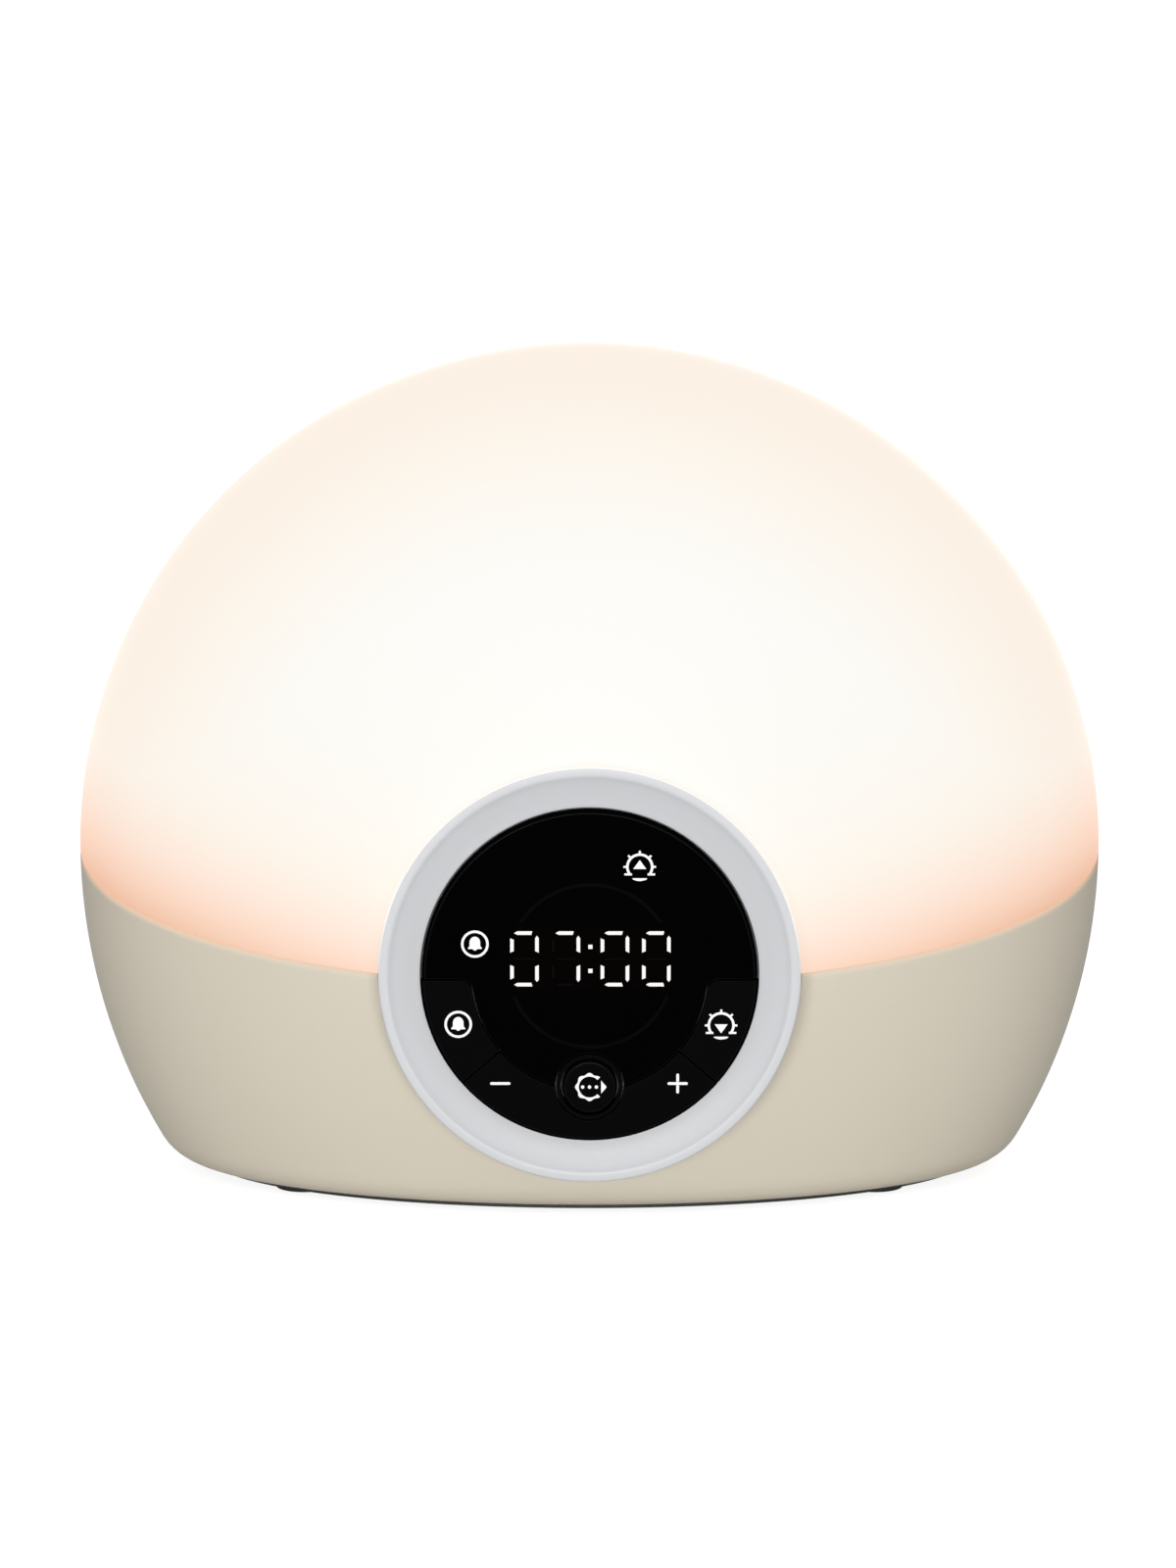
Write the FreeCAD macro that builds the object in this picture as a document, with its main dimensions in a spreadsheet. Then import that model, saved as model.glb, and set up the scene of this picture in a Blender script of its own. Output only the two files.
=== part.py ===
import FreeCAD, Part
import math
import os
import re
import Sketcher

# Sunrise alarm clock: a glowing dome on a putty-coloured housing, with a round display pod in front.
# X runs to the right, Y to the back and Z up. The origin is at the bottom centre of the whole clock.

sizes = {
    # body outline, an upright ellipsoid in two halves that meet at its widest height
    "body_width": 210, "body_depth": 120, "body_height": 170.9, "widest_height": 66.7,
    "lower_reach": 113.1, "dome_wall": 2.4, "housing_wall": 2.5, "floor_thickness": 4,
    "bottom_rounding": 6, "inner_rounding": 3.5,
    # slanted seam between dome and housing
    "seam_height": 67, "seam_slope": 17.1, "seam_gap": 0.3,
    # underside
    "foot_thickness": 0.6, "foot_radius": 6, "foot_across": 116, "foot_apart": 46, "base_height": 1.6,
    "base_inset": 7, "base_recess": 1.4, "base_play": 0.3, "hatch_width": 104, "hatch_depth": 56,
    "vent_length": 18, "vent_width": 1.6, "vent_pitch": 5,
    # columns that carry the lamp tray
    "column_radius": 5, "column_across": 128, "column_apart": 28,
    # screws: base and tray screws are the large ones, board screws the small ones
    "large_shank": 1.3, "large_head": 2.8, "large_head_height": 1.4, "large_grip": 8,
    "small_shank": 0.9, "small_head": 1.9, "small_head_height": 1.2, "small_grip": 4,
    "thread_play": 0.02, "hole_play": 0.3,
    # display pod: its front plane stands in front of the body's foremost point
    "pod_proud": 4, "pod_height": 51.9, "ring_radius": 41.5, "lip_width": 2.2, "lip_rounding": 0.5,
    "dish_step": 0.8, "dish_depth": 2.2, "dish_radius": 33.6, "barrel_depth": 13.5, "barrel_play": 0.2,
    "neck_radius": 38.5, "neck_bore": 34.4, "neck_play": 0.3, "neck_depth": 16,
    "cover_radius": 41, "cover_thickness": 1.6, "cover_hole": 4, "cover_hole_drop": 14,
    "pod_screw_circle": 36.45, "pod_screw_count": 4,
    # panel of lens and keys
    "panel_front": 0.3, "lens_radius": 32.95, "lens_thickness": 2.2, "rim_chamfer": 0.6,
    "key_radius": 33.2, "key_thickness": 2.4, "key_arc": 23.2, "key_top": 0.8, "key_corner": 2.6,
    "key_gap": 0.3, "split_angle": 40.7,
    "mode_radius": 5.42, "mode_drop": 22.3, "mode_rounding": 0.5, "collar_inner": 5.75,
    "collar_radius": 6.5, "collar_front": 0.15,
    # frame behind the panel
    "frame_radius": 34.1, "frame_front": 3.6, "frame_thickness": 1.6, "pad_play": 1.2,
    "plunger_radius": 1.4, "plunger_end": 5, "plunger_play": 0.3, "peg_radius": 1,
    "side_key_across": 53.2, "side_key_drop": 9.7, "peg_across": 57.6, "peg_drop": 3.6,
    "lobe_across": 35, "lobe_drop": 21.8,
    # switches under the keys
    "switch_side": 5.2, "switch_height": 3.2, "stem_radius": 1.6, "stem_depth": 1.3,
    "stem_play": 0.1, "stem_well": 1.6,
    # pivot of the minus and plus key
    "pin_radius": 0.75, "pin_play": 0.05, "pin_depth": 6.8, "lug_width": 2.8, "lug_top": 29.4,
    "lug_height": 2, "ear_gap": 0.3, "ear_height": 1.9, "ear_width": 4.6, "ear_reach": 1.4,
    # display and control board
    "digit_shift": 0.17, "digit_inner": 4.81, "digit_pitch": 8.12, "digit_middle": 3.36,
    "digit_width": 5.8, "digit_height": 11.2, "stroke": 0.9, "bar_slant": 0.34, "bar_tip": 0.8,
    "bar_right": 1.62, "bar_near": 1.14, "bar_far": 4.2, "middle_thinner": 0.12, "dot_side": 1.02,
    "dot_apart": 4.8, "window_depth": 0.6,
    "module_width": 40, "module_height": 17, "module_play": 0.3,
    "board_radius": 32.5, "board_front": 9, "board_thickness": 1.6, "board_post_radius": 2,
    "post_across_top": 52, "post_rise": 14, "post_across_low": 19, "post_drop": 27.5,
    # lamp deck, measured from the slanted seam plane
    "tray_drop": 3, "tray_floor": 1.6, "tray_rise": 2.5, "tray_rim": 1.5, "tray_play": 0.9,
    "tray_notch_play": 1, "notch_depth": 21, "deck_post_radius": 3, "deck_post_across": 96,
    "deck_post_apart": 16, "spreader_rise": 0.6, "spreader_thickness": 1, "lamp_board_width": 124,
    "lamp_board_depth": 56, "lamp_board_thickness": 1.6, "lamp_length": 3.5, "lamp_depth": 2.8,
    "lamp_height": 1.7, "outer_lamp_width": 52, "outer_lamp_depth": 22, "inner_lamp_width": 24,
    "inner_lamp_depth": 9, "amber_lamp_width": 38, "amber_lamp_depth": 15.5,
    "lamp_wire_across": 30, "lamp_wire_back": 6,
    # main board
    "main_width": 76, "main_depth": 34, "main_rise": 5, "main_post_radius": 3, "main_post_across": 66,
    "main_post_apart": 24, "sounder_radius": 8, "sounder_height": 8,
    # power inlet at the back
    "inlet_height": 20, "inlet_radius": 6, "inlet_wall": 3.5, "inlet_depth": 10,
    "inlet_floor_thickness": 2.5, "jack_nose_radius": 3.9, "jack_nose_play": 0.15,
    "jack_bore": 2.75, "jack_bore_depth": 10, "jack_pin": 1, "jack_width": 11, "jack_height": 11,
    "jack_length": 12, "flange_width": 20, "flange_height": 8, "flange_thickness": 2,
    "jack_screw_across": 15.8,
    # wires inside, and the bends of their runs
    "wire_radius": 0.7, "wire_pitch": 2.4, "wire_hole": 3, "connector_long": 8, "connector_short": 5,
    "connector_height": 5, "display_plug_across": -26, "display_plug_ahead": 7, "lamp_plug_back": 4,
    "power_plug_back": 12, "display_run": 12, "display_bend_across": -10, "display_bend_run": 22,
    "display_bend_drop": 3, "display_turn_across": -20, "display_turn_ahead": 12,
    "display_turn_rise": 14, "display_end_rise": 8, "lamp_run": 14, "lamp_bend_drop": 12,
    "power_run": 8, "power_end_rise": 6,
    # parts on the control board
    "chip_across": -9, "chip_rise": 8, "chip_side": 10, "chip_height": 1.4, "driver_across": 12,
    "driver_rise": 10, "driver_width": 8, "driver_length": 5, "driver_height": 1.8, "timer_rise": 1,
    "timer_side": 5, "timer_height": 1.2, "plug_width": 9, "plug_length": 4, "plug_height": 2.4,
    # parts on the main board
    "tall_can_across": -24, "tall_can_radius": 5, "tall_can_height": 12, "short_can_across": -12,
    "short_can_radius": 4, "short_can_height": 10, "can_back": 8, "coil_across": 4, "coil_ahead": 6,
    "coil_side": 12, "coil_height": 6, "power_chip_across": -12, "power_chip_ahead": 8,
    "power_chip_side": 9, "power_chip_height": 1.2, "sounder_across": 18, "sounder_ahead": 5,
    # how far joined pieces run into each other, and skins left under blind holes
    "overlap": 0.5, "pilot_skin": 0.8, "tray_pilot_skin": 0.6, "head_sink": 0.1, "mode_proud": 0.1,
    "pin_grip": 0.01,
}

doc = FreeCAD.newDocument("sunrise_clock")
sheet = doc.addObject("Spreadsheet::Sheet", "Size")
for row, (alias, value) in enumerate(sizes.items(), start=1):
    sheet.set(f"A{row}", alias)
    sheet.set(f"B{row}", str(value))
    sheet.setAlias(f"B{row}", alias)
doc.recompute()


class SheetReader:
    def __getattr__(self, alias):
        return float(sheet.get(alias))


size = SheetReader()
vector = FreeCAD.Vector
nodes = {}

# places that many pieces share, as expressions on the sheet
body_back = "(pod_proud / 2)"
pod_front = "(-(body_depth + pod_proud) / 2)"
frames = {
    "world": "placement(vector(0; 0; 0); rotation(vector(0; 0; 1); 0))",
    "pod": f"placement(vector(0; {pod_front}; pod_height); rotation(vector(0; 0; 1); 0))",
    "deck": f"placement(vector(0; {body_back}; seam_height); rotation(vector(1; 0; 0); seam_slope))",
}
turns = {
    "X": "rotation(vector(0; 1; 0); 90)",
    "Y": "rotation(vector(1; 0; 0); -90)",
    "Z": "rotation(vector(0; 0; 1); 0)",
}


# expressions: every size word in a text becomes a reference to its cell
def bound(text):
    def refer(match):
        word = match.group(0)
        return f"Size.{word}" if word in sizes else word

    return re.sub(r"[a-z]+(?:_[a-z]+)*", refer, str(text))


def place(item, frame, at, axis="Z"):
    x, y, z = at
    inner = f"placement(vector({x}; {y}; {z}); {turns[axis]})"
    item.setExpression("Placement", bound(f"{frames[frame]} * {inner}"))
    return item


def keep(label, item):
    item.Label = label
    nodes[label] = item
    return item


# solid primitives whose sizes are expressions
def rod(frame, at, axis, radius, length):
    item = doc.addObject("Part::Cylinder", "rod")
    item.setExpression("Radius", bound(radius))
    item.setExpression("Height", bound(length))
    return place(item, frame, at, axis)


def block(frame, centre, lengths):
    item = doc.addObject("Part::Box", "block")
    for name, length in zip(("Length", "Width", "Height"), lengths):
        item.setExpression(name, bound(length))
    corner = [f"{middle} - ({length}) / 2" for middle, length in zip(centre, lengths)]
    return place(item, frame, corner)


def oval(frame, rise, across, along, thickness):
    line = doc.addObject("Part::Ellipse", "oval_line")
    line.setExpression("MajorRadius", bound(f"({across}) / 2"))
    line.setExpression("MinorRadius", bound(f"({along}) / 2"))
    item = doc.addObject("Part::Extrusion", "oval")
    item.Base = line
    item.DirMode = "Custom"
    item.Dir = vector(0, 0, 1)
    item.setExpression("LengthFwd", bound(thickness))
    item.Solid = True
    back = body_back if frame == "world" else "0"
    return place(item, frame, ("0", back, rise))


def join(items):
    item = doc.addObject("Part::MultiFuse", "join")
    item.Shapes = items
    return item


def cut(base, tools):
    item = doc.addObject("Part::Cut", "cut")
    item.Base = base
    item.Tool = tools[0] if len(tools) == 1 else join(tools)
    return item


def group(items):
    item = doc.addObject("Part::Compound", "group")
    item.Links = items
    return item


# a sketched outline: straight lines through points that are each held by two expressions,
# drawn first as a ring well inside the first quadrant
ring_middle = 30
ring_reach = 20


def outline(body, plane, points):
    sketch = body.newObject("Sketcher::SketchObject", "outline")
    support = next(item for item in body.Origin.OriginFeatures if item.Role == plane)
    sketch.AttachmentSupport = [(support, "")]
    sketch.MapMode = "FlatFace"
    count = len(points)
    start = [
        vector(ring_middle + ring_reach * math.cos(math.tau * turn / count),
               ring_middle + ring_reach * math.sin(math.tau * turn / count), 0)
        for turn in range(count)
    ]
    for turn in range(count):
        sketch.addGeometry(Part.LineSegment(start[turn], start[(turn + 1) % count]), False)
    for turn in range(count):
        sketch.addConstraint(Sketcher.Constraint("Coincident", turn, 2, (turn + 1) % count, 1))
    for turn, point in enumerate(points):
        for kind, axis, text in (("DistanceX", -2, point[0]), ("DistanceY", -1, point[1])):
            if text == "0":
                sketch.addConstraint(Sketcher.Constraint("PointOnObject", turn, 1, axis))
            else:
                index = sketch.addConstraint(Sketcher.Constraint(kind, -1, 1, turn, 1, 1.0))
                sketch.setExpression(f"Constraints[{index}]", bound(text))
    return sketch


# a turned piece: radius and depth pairs, revolved about the pod's or the frame's own Y axis
def turned(frame, at, points):
    body = doc.addObject("PartDesign::Body", "turned")
    sketch = outline(body, "XY_Plane", points)
    turning = body.newObject("PartDesign::Revolution", "turning")
    turning.Profile = sketch
    turning.ReferenceAxis = (sketch, ["V_Axis"])
    turning.Angle = 360
    place(body, frame, at)
    return body


# a flat piece: an outline in the XY plane, padded upwards
def padded(frame, at, points, thickness):
    body = doc.addObject("PartDesign::Body", "padded")
    sketch = outline(body, "XY_Plane", points)
    pad = body.newObject("PartDesign::Pad", "pad")
    pad.Profile = sketch
    pad.setExpression("Length", bound(thickness))
    place(body, frame, at)
    return body


def corners(across, along):
    return [(f"{side} * ({across}) / 2", f"{end} * ({along}) / 2")
            for side, end in ((-1, -1), (1, -1), (1, 1), (-1, 1))]


def four(across, apart):
    return [(f"{side} * ({across}) / 2", f"{end} * ({apart}) / 2") for side in (-1, 1) for end in (-1, 1)]


def screw(frame, head_at, axis, sign, kind, grip):
    x, y, z = head_at
    if axis == "Z":
        head = (x, y, z if sign > 0 else f"{z} - {kind}_head_height")
        shank = (x, y, f"{z} - ({grip})" if sign > 0 else z)
    else:
        head = (x, y if sign > 0 else f"{y} - {kind}_head_height", z)
        shank = (x, f"{y} - ({grip})" if sign > 0 else y, z)
    return join([
        rod(frame, head, axis, f"{kind}_head", f"{kind}_head_height"),
        rod(frame, shank, axis, f"{kind}_shank", grip),
    ])


tolerance = 0.001


# the body's outline as a solid, moved inwards by an inset and cut flat at a height
def oval_arc(middle, side, reach, start):
    first = middle + side * math.sin(start) + reach * math.cos(start)
    wide, narrow = (side, reach) if side.Length >= reach.Length else (reach, side)
    curve = Part.Ellipse(middle + wide, middle + narrow, middle)
    ends = sorted((curve.parameter(first), curve.parameter(middle + side)))
    return Part.ArcOfEllipse(curve, ends[0], ends[1]).toShape(), first


def envelope(inset, bottom, rounding):
    side = vector(size.body_width / 2 - inset, 0, 0)
    upper = vector(0, 0, size.body_height - size.widest_height - inset)
    lower = vector(0, 0, inset - size.lower_reach)
    middle = vector(0, 0, size.widest_height)
    start = math.acos((bottom - size.widest_height) / lower.z)
    lower_edge, rim = oval_arc(middle, side, lower, start)
    upper_edge, top = oval_arc(middle, side, upper, 0)
    foot = vector(0, 0, bottom)
    lines = [lower_edge, upper_edge, Part.makeLine(top, foot), Part.makeLine(foot, rim)]
    profile = Part.Face(Part.Wire(Part.__sortEdges__(lines)))
    solid = profile.revolve(vector(0, 0, 0), vector(0, 0, 1), 360).Solids[0]
    if rounding:
        rims = [edge for edge in solid.Edges if edge.BoundBox.ZMax < bottom + tolerance]
        rims = [edge for edge in rims if edge.BoundBox.XLength > side.x]
        solid = solid.makeFillet(rounding, rims)
    squeeze = FreeCAD.Matrix()
    squeeze.scale(1, (size.body_depth / 2 - inset) / side.x, 1)
    solid = solid.transformGeometry(squeeze).Solids[0]
    solid.translate(vector(0, size.pod_proud / 2, 0))
    return solid


def half_width(height):
    reach = size.lower_reach
    return size.body_width / 2 * math.sqrt(1 - ((size.widest_height - height) / reach) ** 2)


deck_place = FreeCAD.Placement(
    vector(0, size.pod_proud / 2, size.seam_height),
    FreeCAD.Rotation(vector(1, 0, 0), size.seam_slope),
)
front_plane = -(size.body_depth + size.pod_proud) / 2
pod_place = FreeCAD.Placement(vector(0, front_plane, size.pod_height), FreeCAD.Rotation())
far = size.body_width + size.body_height


# the space between two planes parallel to the seam
def deck_slab(low, high):
    slab = Part.makeBox(2 * far, 2 * far, high - low, vector(-far, -far, low))
    slab.Placement = deck_place
    return slab


# the y of the body's back surface in the middle plane at a height
def back_surface(height):
    return size.pod_proud / 2 + half_width(height) * size.body_depth / size.body_width


# how far the inside of the wall reaches to front and back along the seam plane
def seam_reach(inset):
    slope = math.tan(math.radians(size.seam_slope))
    rise = size.seam_height - size.widest_height
    depth = size.body_depth / 2 - inset
    reaches = []
    for side, reach in ((1, size.body_height - size.widest_height), (-1, size.lower_reach)):
        tall = reach - inset
        square = 1 / depth ** 2 + slope ** 2 / tall ** 2
        cross = side * rise * slope / tall ** 2
        rest = 1 - rise ** 2 / tall ** 2
        along = (math.sqrt(cross ** 2 + square * rest) - cross) / square
        reaches.append(along / math.cos(math.radians(size.seam_slope)))
    return min(reaches)


def is_seam(face):
    flat = face.Surface.TypeId == "Part::GeomPlane"
    return flat and abs(face.normalAt(0, 0).z) < 1 - tolerance


# a wall between an outer and an inner solid that are both open at the seam plane
def wall(outer, inner):
    faces = [face for solid in (outer, inner) for face in solid.Faces if not is_seam(face)]
    rims = [face.OuterWire for solid in (outer, inner) for face in solid.Faces if is_seam(face)]
    faces.append(Part.makeFace(rims, "Part::FaceMakerBullseye"))
    skin = Part.makeCompound(faces)
    skin.sewShape()
    solid = Part.makeSolid(skin.Shells[0] if skin.Shells else Part.Shell(skin.Faces))
    if solid.Volume < 0:
        solid.reverse()
    return solid


def feature(label, shape):
    item = doc.addObject("Part::Feature", label)
    item.Shape = shape
    return item


def oval_prism(across, along, low, high):
    sides = sorted((across, along), reverse=True)
    curve = Part.Ellipse(vector(0, 0, low), sides[0], sides[1])
    prism = Part.Face(Part.Wire(curve.toShape())).extrude(vector(0, 0, high - low))
    if across < along:
        prism.rotate(vector(0, 0, 0), vector(0, 0, 1), 90)
    return prism


def pod_rod(radius, front, back, across=0, rise=0):
    return Part.makeCylinder(radius, back - front, vector(across, front, rise), vector(0, 1, 0))


def in_pod(shape):
    shape.translate(pod_place.Base)
    return shape


def neck_opening(play):
    radius = size.neck_radius + play
    return in_pod(pod_rod(radius, -size.pod_proud, size.neck_depth + size.ring_radius / 2))


# diffuser dome
def make_dome():
    above = deck_slab(size.seam_gap / 2, far)
    outer = envelope(0, size.base_height, 0).common(above)
    inner = envelope(size.dome_wall, size.base_height, 0).common(above)
    return wall(outer, inner).cut(neck_opening(size.neck_play))


keep("diffuser_dome", feature("dome", make_dome()))

# lower housing: wall and floor, columns for the tray, and the cup of the power inlet
column_places = [
    (side * size.column_across / 2, size.pod_proud / 2 + end * size.column_apart / 2)
    for side in (-1, 1) for end in (-1, 1)
]
floor_top = size.base_height + size.floor_thickness
base_top_height = size.base_height + size.base_recess
base_half_width = half_width(size.base_height) - size.base_inset
base_half_depth = base_half_width * size.body_depth / size.body_width
inlet_floor = back_surface(size.inlet_height) - size.inlet_depth


def tray_pilots():
    holes = []
    for across, along in column_places:
        along -= size.pod_proud / 2
        radius = size.large_shank + size.thread_play
        length = size.large_grip + 1
        hole = Part.makeCylinder(radius, length, vector(across, along, -size.tray_drop - length))
        hole.Placement = deck_place.multiply(hole.Placement)
        holes.append(hole)
    return holes


def make_housing():
    below = deck_slab(-far, -size.seam_gap / 2)
    outer = envelope(0, size.base_height, size.bottom_rounding).common(below)
    inner = envelope(size.housing_wall, floor_top, size.inner_rounding).common(below)
    shell = wall(outer, inner).cut(neck_opening(size.neck_play))
    columns = [
        Part.makeCylinder(size.column_radius, far, vector(across, along, floor_top - size.overlap))
        for across, along in column_places
    ]
    under_tray = deck_slab(-far, -size.tray_drop)
    columns = [column.common(under_tray) for column in columns]
    cup_start = inlet_floor - size.inlet_floor_thickness
    centre = vector(0, cup_start, size.inlet_height)
    cup = Part.makeCylinder(size.inlet_radius + size.inlet_wall, size.body_depth, centre, vector(0, 1, 0))
    cup = cup.common(envelope(size.housing_wall / 3, size.base_height, size.bottom_rounding))
    shell = shell.fuse(columns + [cup])
    recess = Part.makeCylinder(
        size.inlet_radius, size.body_depth, vector(0, inlet_floor, size.inlet_height), vector(0, 1, 0)
    )
    nose = Part.makeCylinder(
        size.jack_nose_radius + size.jack_nose_play, size.body_depth,
        centre - vector(0, 1, 0), vector(0, 1, 0)
    )
    seat = oval_prism(base_half_width + size.base_play, base_half_depth + size.base_play, 0, base_top_height)
    hatch = oval_prism(size.hatch_width / 2, size.hatch_depth / 2, 0, floor_top + 1)
    for opening in (seat, hatch):
        opening.translate(vector(0, size.pod_proud / 2, 0))
    pilots = [
        Part.makeCylinder(size.large_shank + size.thread_play, size.large_grip + base_top_height,
                          vector(across, along, 0))
        for across, along in column_places
    ]
    pilots += [
        Part.makeCylinder(size.small_shank + size.thread_play, size.small_grip + 1,
                          centre + vector(side * size.jack_screw_across / 2, -size.overlap, 0),
                          vector(0, 1, 0))
        for side in (-1, 1)
    ]
    return shell.cut([recess, nose, seat, hatch] + pilots + tray_pilots())


keep("lower_housing", feature("housing", make_housing()))

# base plate with its vents and the posts of the main board
base_top = "base_height + base_recess"
plate = feature("plate", oval_prism(base_half_width, base_half_depth, size.foot_thickness, base_top_height))
plate.Placement = FreeCAD.Placement(vector(0, size.pod_proud / 2, 0), FreeCAD.Rotation())
main_posts = [(x, f"{body_back} + {y}") for x, y in four("main_post_across", "main_post_apart")]
posts = [rod("world", (x, y, f"{base_top} - overlap"), "Z", "main_post_radius", "main_rise + overlap")
         for x, y in main_posts]
base_holes = [rod("world", (x, f"{body_back} + {y}", "0"), "Z", "large_shank + hole_play", "body_height")
              for x, y in four("column_across", "column_apart")]
head_seat = "foot_thickness + large_head_height + head_sink"
base_holes += [
    rod("world", (x, f"{body_back} + {y}", "0"), "Z", "large_head + hole_play", head_seat)
    for x, y in four("column_across", "column_apart")
]
base_holes += [rod("world", (x, y, f"{base_top} + 1"), "Z", "small_shank + thread_play", "main_rise + 1")
               for x, y in main_posts]
base_holes += [
    block("world", (f"{turn} * vent_pitch", body_back, "0"), ("vent_width", "vent_length", "body_height"))
    for turn in range(-3, 4)
]
keep("base_plate", cut(join([plate] + posts), base_holes))

keep("rubber_feet", group([
    rod("world", (x, f"{body_back} + {y}", "0"), "Z", "foot_radius", "foot_thickness")
    for x, y in four("foot_across", "foot_apart")
]))
keep("base_screws", group([
    screw("world", (x, f"{body_back} + {y}", head_seat), "Z", -1, "large", "large_grip")
    for x, y in four("column_across", "column_apart")
]))

# bezel ring: a barrel shaped to the body behind its lip and dish, and a neck that goes through the wall
barrel = turned("pod", ("0", "0", "0"), [
    ("ring_radius - lip_rounding", "0"), ("ring_radius", "lip_rounding"),
    ("ring_radius", "barrel_depth"), ("neck_radius - 1", "barrel_depth"),
    ("neck_radius - 1", "dish_depth + 1"),
    ("dish_radius", "dish_depth + 1"), ("dish_radius", "dish_depth"),
    ("ring_radius - lip_width", "dish_step"), ("ring_radius - lip_width", "0"),
])
body_room = feature("body_room", envelope(-size.barrel_play, size.base_height, size.bottom_rounding))
barrel = cut(barrel, [body_room])
neck = turned("pod", ("0", "0", "0"), [
    ("dish_radius", "dish_depth + overlap"), ("neck_radius", "dish_depth + overlap"),
    ("neck_radius", "neck_depth"),
    ("neck_bore", "neck_depth"), ("neck_bore", "frame_front"), ("dish_radius", "frame_front"),
])
screw_step = 360 / sizes["pod_screw_count"]
screw_turns = [screw_step * (turn + 0.5) for turn in range(sizes["pod_screw_count"])]
pod_screws = [(f"pod_screw_circle * cos({turn})", f"pod_screw_circle * sin({turn})") for turn in screw_turns]
pilots = [rod("pod", (x, "neck_depth - large_grip", z), "Y", "large_shank + thread_play", "large_grip + 1")
          for x, z in pod_screws]
keep("bezel_ring", cut(join([barrel, neck]), pilots))

cover = turned("pod", ("0", "0", "0"), [
    ("0", "neck_depth"), ("cover_radius", "neck_depth"), ("cover_radius", "neck_depth + cover_thickness"),
    ("0", "neck_depth + cover_thickness"),
])
cover_holes = [rod("pod", (x, "0", z), "Y", "large_shank + hole_play", "body_depth") for x, z in pod_screws]
cover_holes.append(rod("pod", ("0", "0", "-cover_hole_drop"), "Y", "cover_hole", "body_depth"))
keep("pod_cover", cut(cover, cover_holes))
keep("pod_cover_screws", group([
    screw("pod", (x, "neck_depth + cover_thickness", z), "Y", 1, "large", "large_grip") for x, z in pod_screws
]))

# digit windows: two pairs of digits of seven bars each, and the two dots between them
def bar(across, rise, corners_seen):
    points = [vector(across + x, size.panel_front, rise + z) for x, z in corners_seen]
    return Part.Face(Part.makePolygon(points + points[:1])).extrude(vector(0, size.window_depth, 0))


# the bars' outlines about a digit's middle: level ones have a tip at the left and a slant at the right,
# upright ones are slanted where they meet the level ones, with a tip at the outer end of the right pair
def digit_bars():
    wide = size.digit_width / 2
    tall = size.digit_height / 2
    stroke = size.stroke
    slant = size.bar_slant
    bars = []
    for up in (-1, 1):
        level = up * tall
        inside = up * (tall - stroke)
        bars.append([(size.bar_tip - wide, up * (tall - stroke / 2)),
                     (size.bar_tip + 2 * slant - wide, level),
                     (size.bar_right, level), (size.bar_right - slant / 2, inside),
                     (size.bar_tip + 2 * slant - wide, inside)])
        near, end = up * size.bar_near, up * size.bar_far
        step = up * slant
        bars.append([(-wide, near), (-wide, end), (stroke - wide, end - step), (stroke - wide, near + step)])
        bars.append([(wide, near), (wide - stroke, near + step), (wide - stroke, end),
                     (wide - stroke / 2, end + 1.5 * step), (wide, end)])
    half = stroke / 2 - size.middle_thinner
    reach = wide - stroke / 2 - slant / 2
    bars.append([(-reach, 0), (half - reach, half), (reach - half, half),
                 (reach, 0), (reach - half, -half), (half - reach, -half)])
    return bars


def make_windows():
    windows = []
    for side in (-1, 1):
        for step in (0, 1):
            middle = size.digit_shift + side * (size.digit_inner + step * size.digit_pitch)
            windows += [bar(middle, size.digit_middle, corners_seen) for corners_seen in digit_bars()]
    for level in (-1, 1):
        rise = size.digit_middle + level * size.dot_apart / 2
        corner = vector(size.digit_shift - size.dot_side / 2, size.panel_front, rise - size.dot_side / 2)
        windows.append(Part.makeBox(size.dot_side, size.window_depth, size.dot_side, corner))
    return in_pod(Part.makeCompound(windows))


keep("digit_windows", feature("windows", make_windows()))
half_gap = size.key_gap / 2
collar_room = size.collar_radius + size.key_gap


# edges that run from front to back through a place on the panel
def edges_at(shape, across, rise):
    found = []
    for edge in shape.Edges:
        away = math.hypot(edge.CenterOfMass.x - across, edge.CenterOfMass.z - rise)
        if away < 20 * tolerance and edge.BoundBox.YLength > 1:
            found.append(edge)
    return found


# front edges that follow the panel's outer circle
def rim_edges(shape, radius):
    found = []
    for edge in shape.Edges:
        on_front = edge.BoundBox.YMax < size.panel_front + tolerance
        round_edge = edge.Curve.TypeId == "Part::GeomCircle"
        if on_front and round_edge and abs(edge.Curve.Radius - radius) < tolerance:
            if math.hypot(edge.Curve.Center.x, edge.Curve.Center.z) < tolerance:
                found.append(edge)
    return found


def prism(points, front, back):
    line = [vector(x, front, z) for x, z in points + points[:1]]
    return Part.Face(Part.makePolygon(line)).extrude(vector(0, back - front, 0))


def make_lens():
    front = size.panel_front
    back = front + size.lens_thickness
    low = half_gap - size.key_top
    inner = size.key_arc - half_gap
    upper = Part.makeBox(2 * far, back - front, far, vector(-far, front, low))
    lens = pod_rod(size.lens_radius, front, back).common(upper)
    lens = lens.fuse(pod_rod(inner, front, back)).removeSplitter()
    lens = lens.cut(pod_rod(collar_room, front, back, 0, -size.mode_drop))
    corner = math.sqrt(inner ** 2 - low ** 2)
    edges = edges_at(lens, -corner, low) + edges_at(lens, corner, low)
    lens = lens.makeFillet(size.key_corner + half_gap, edges)
    lens = lens.makeChamfer(size.rim_chamfer, rim_edges(lens, size.lens_radius))
    return in_pod(lens)


lens = feature("lens", make_lens())
keep("display_lens", cut(lens, [nodes["digit_windows"]]))


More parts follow.
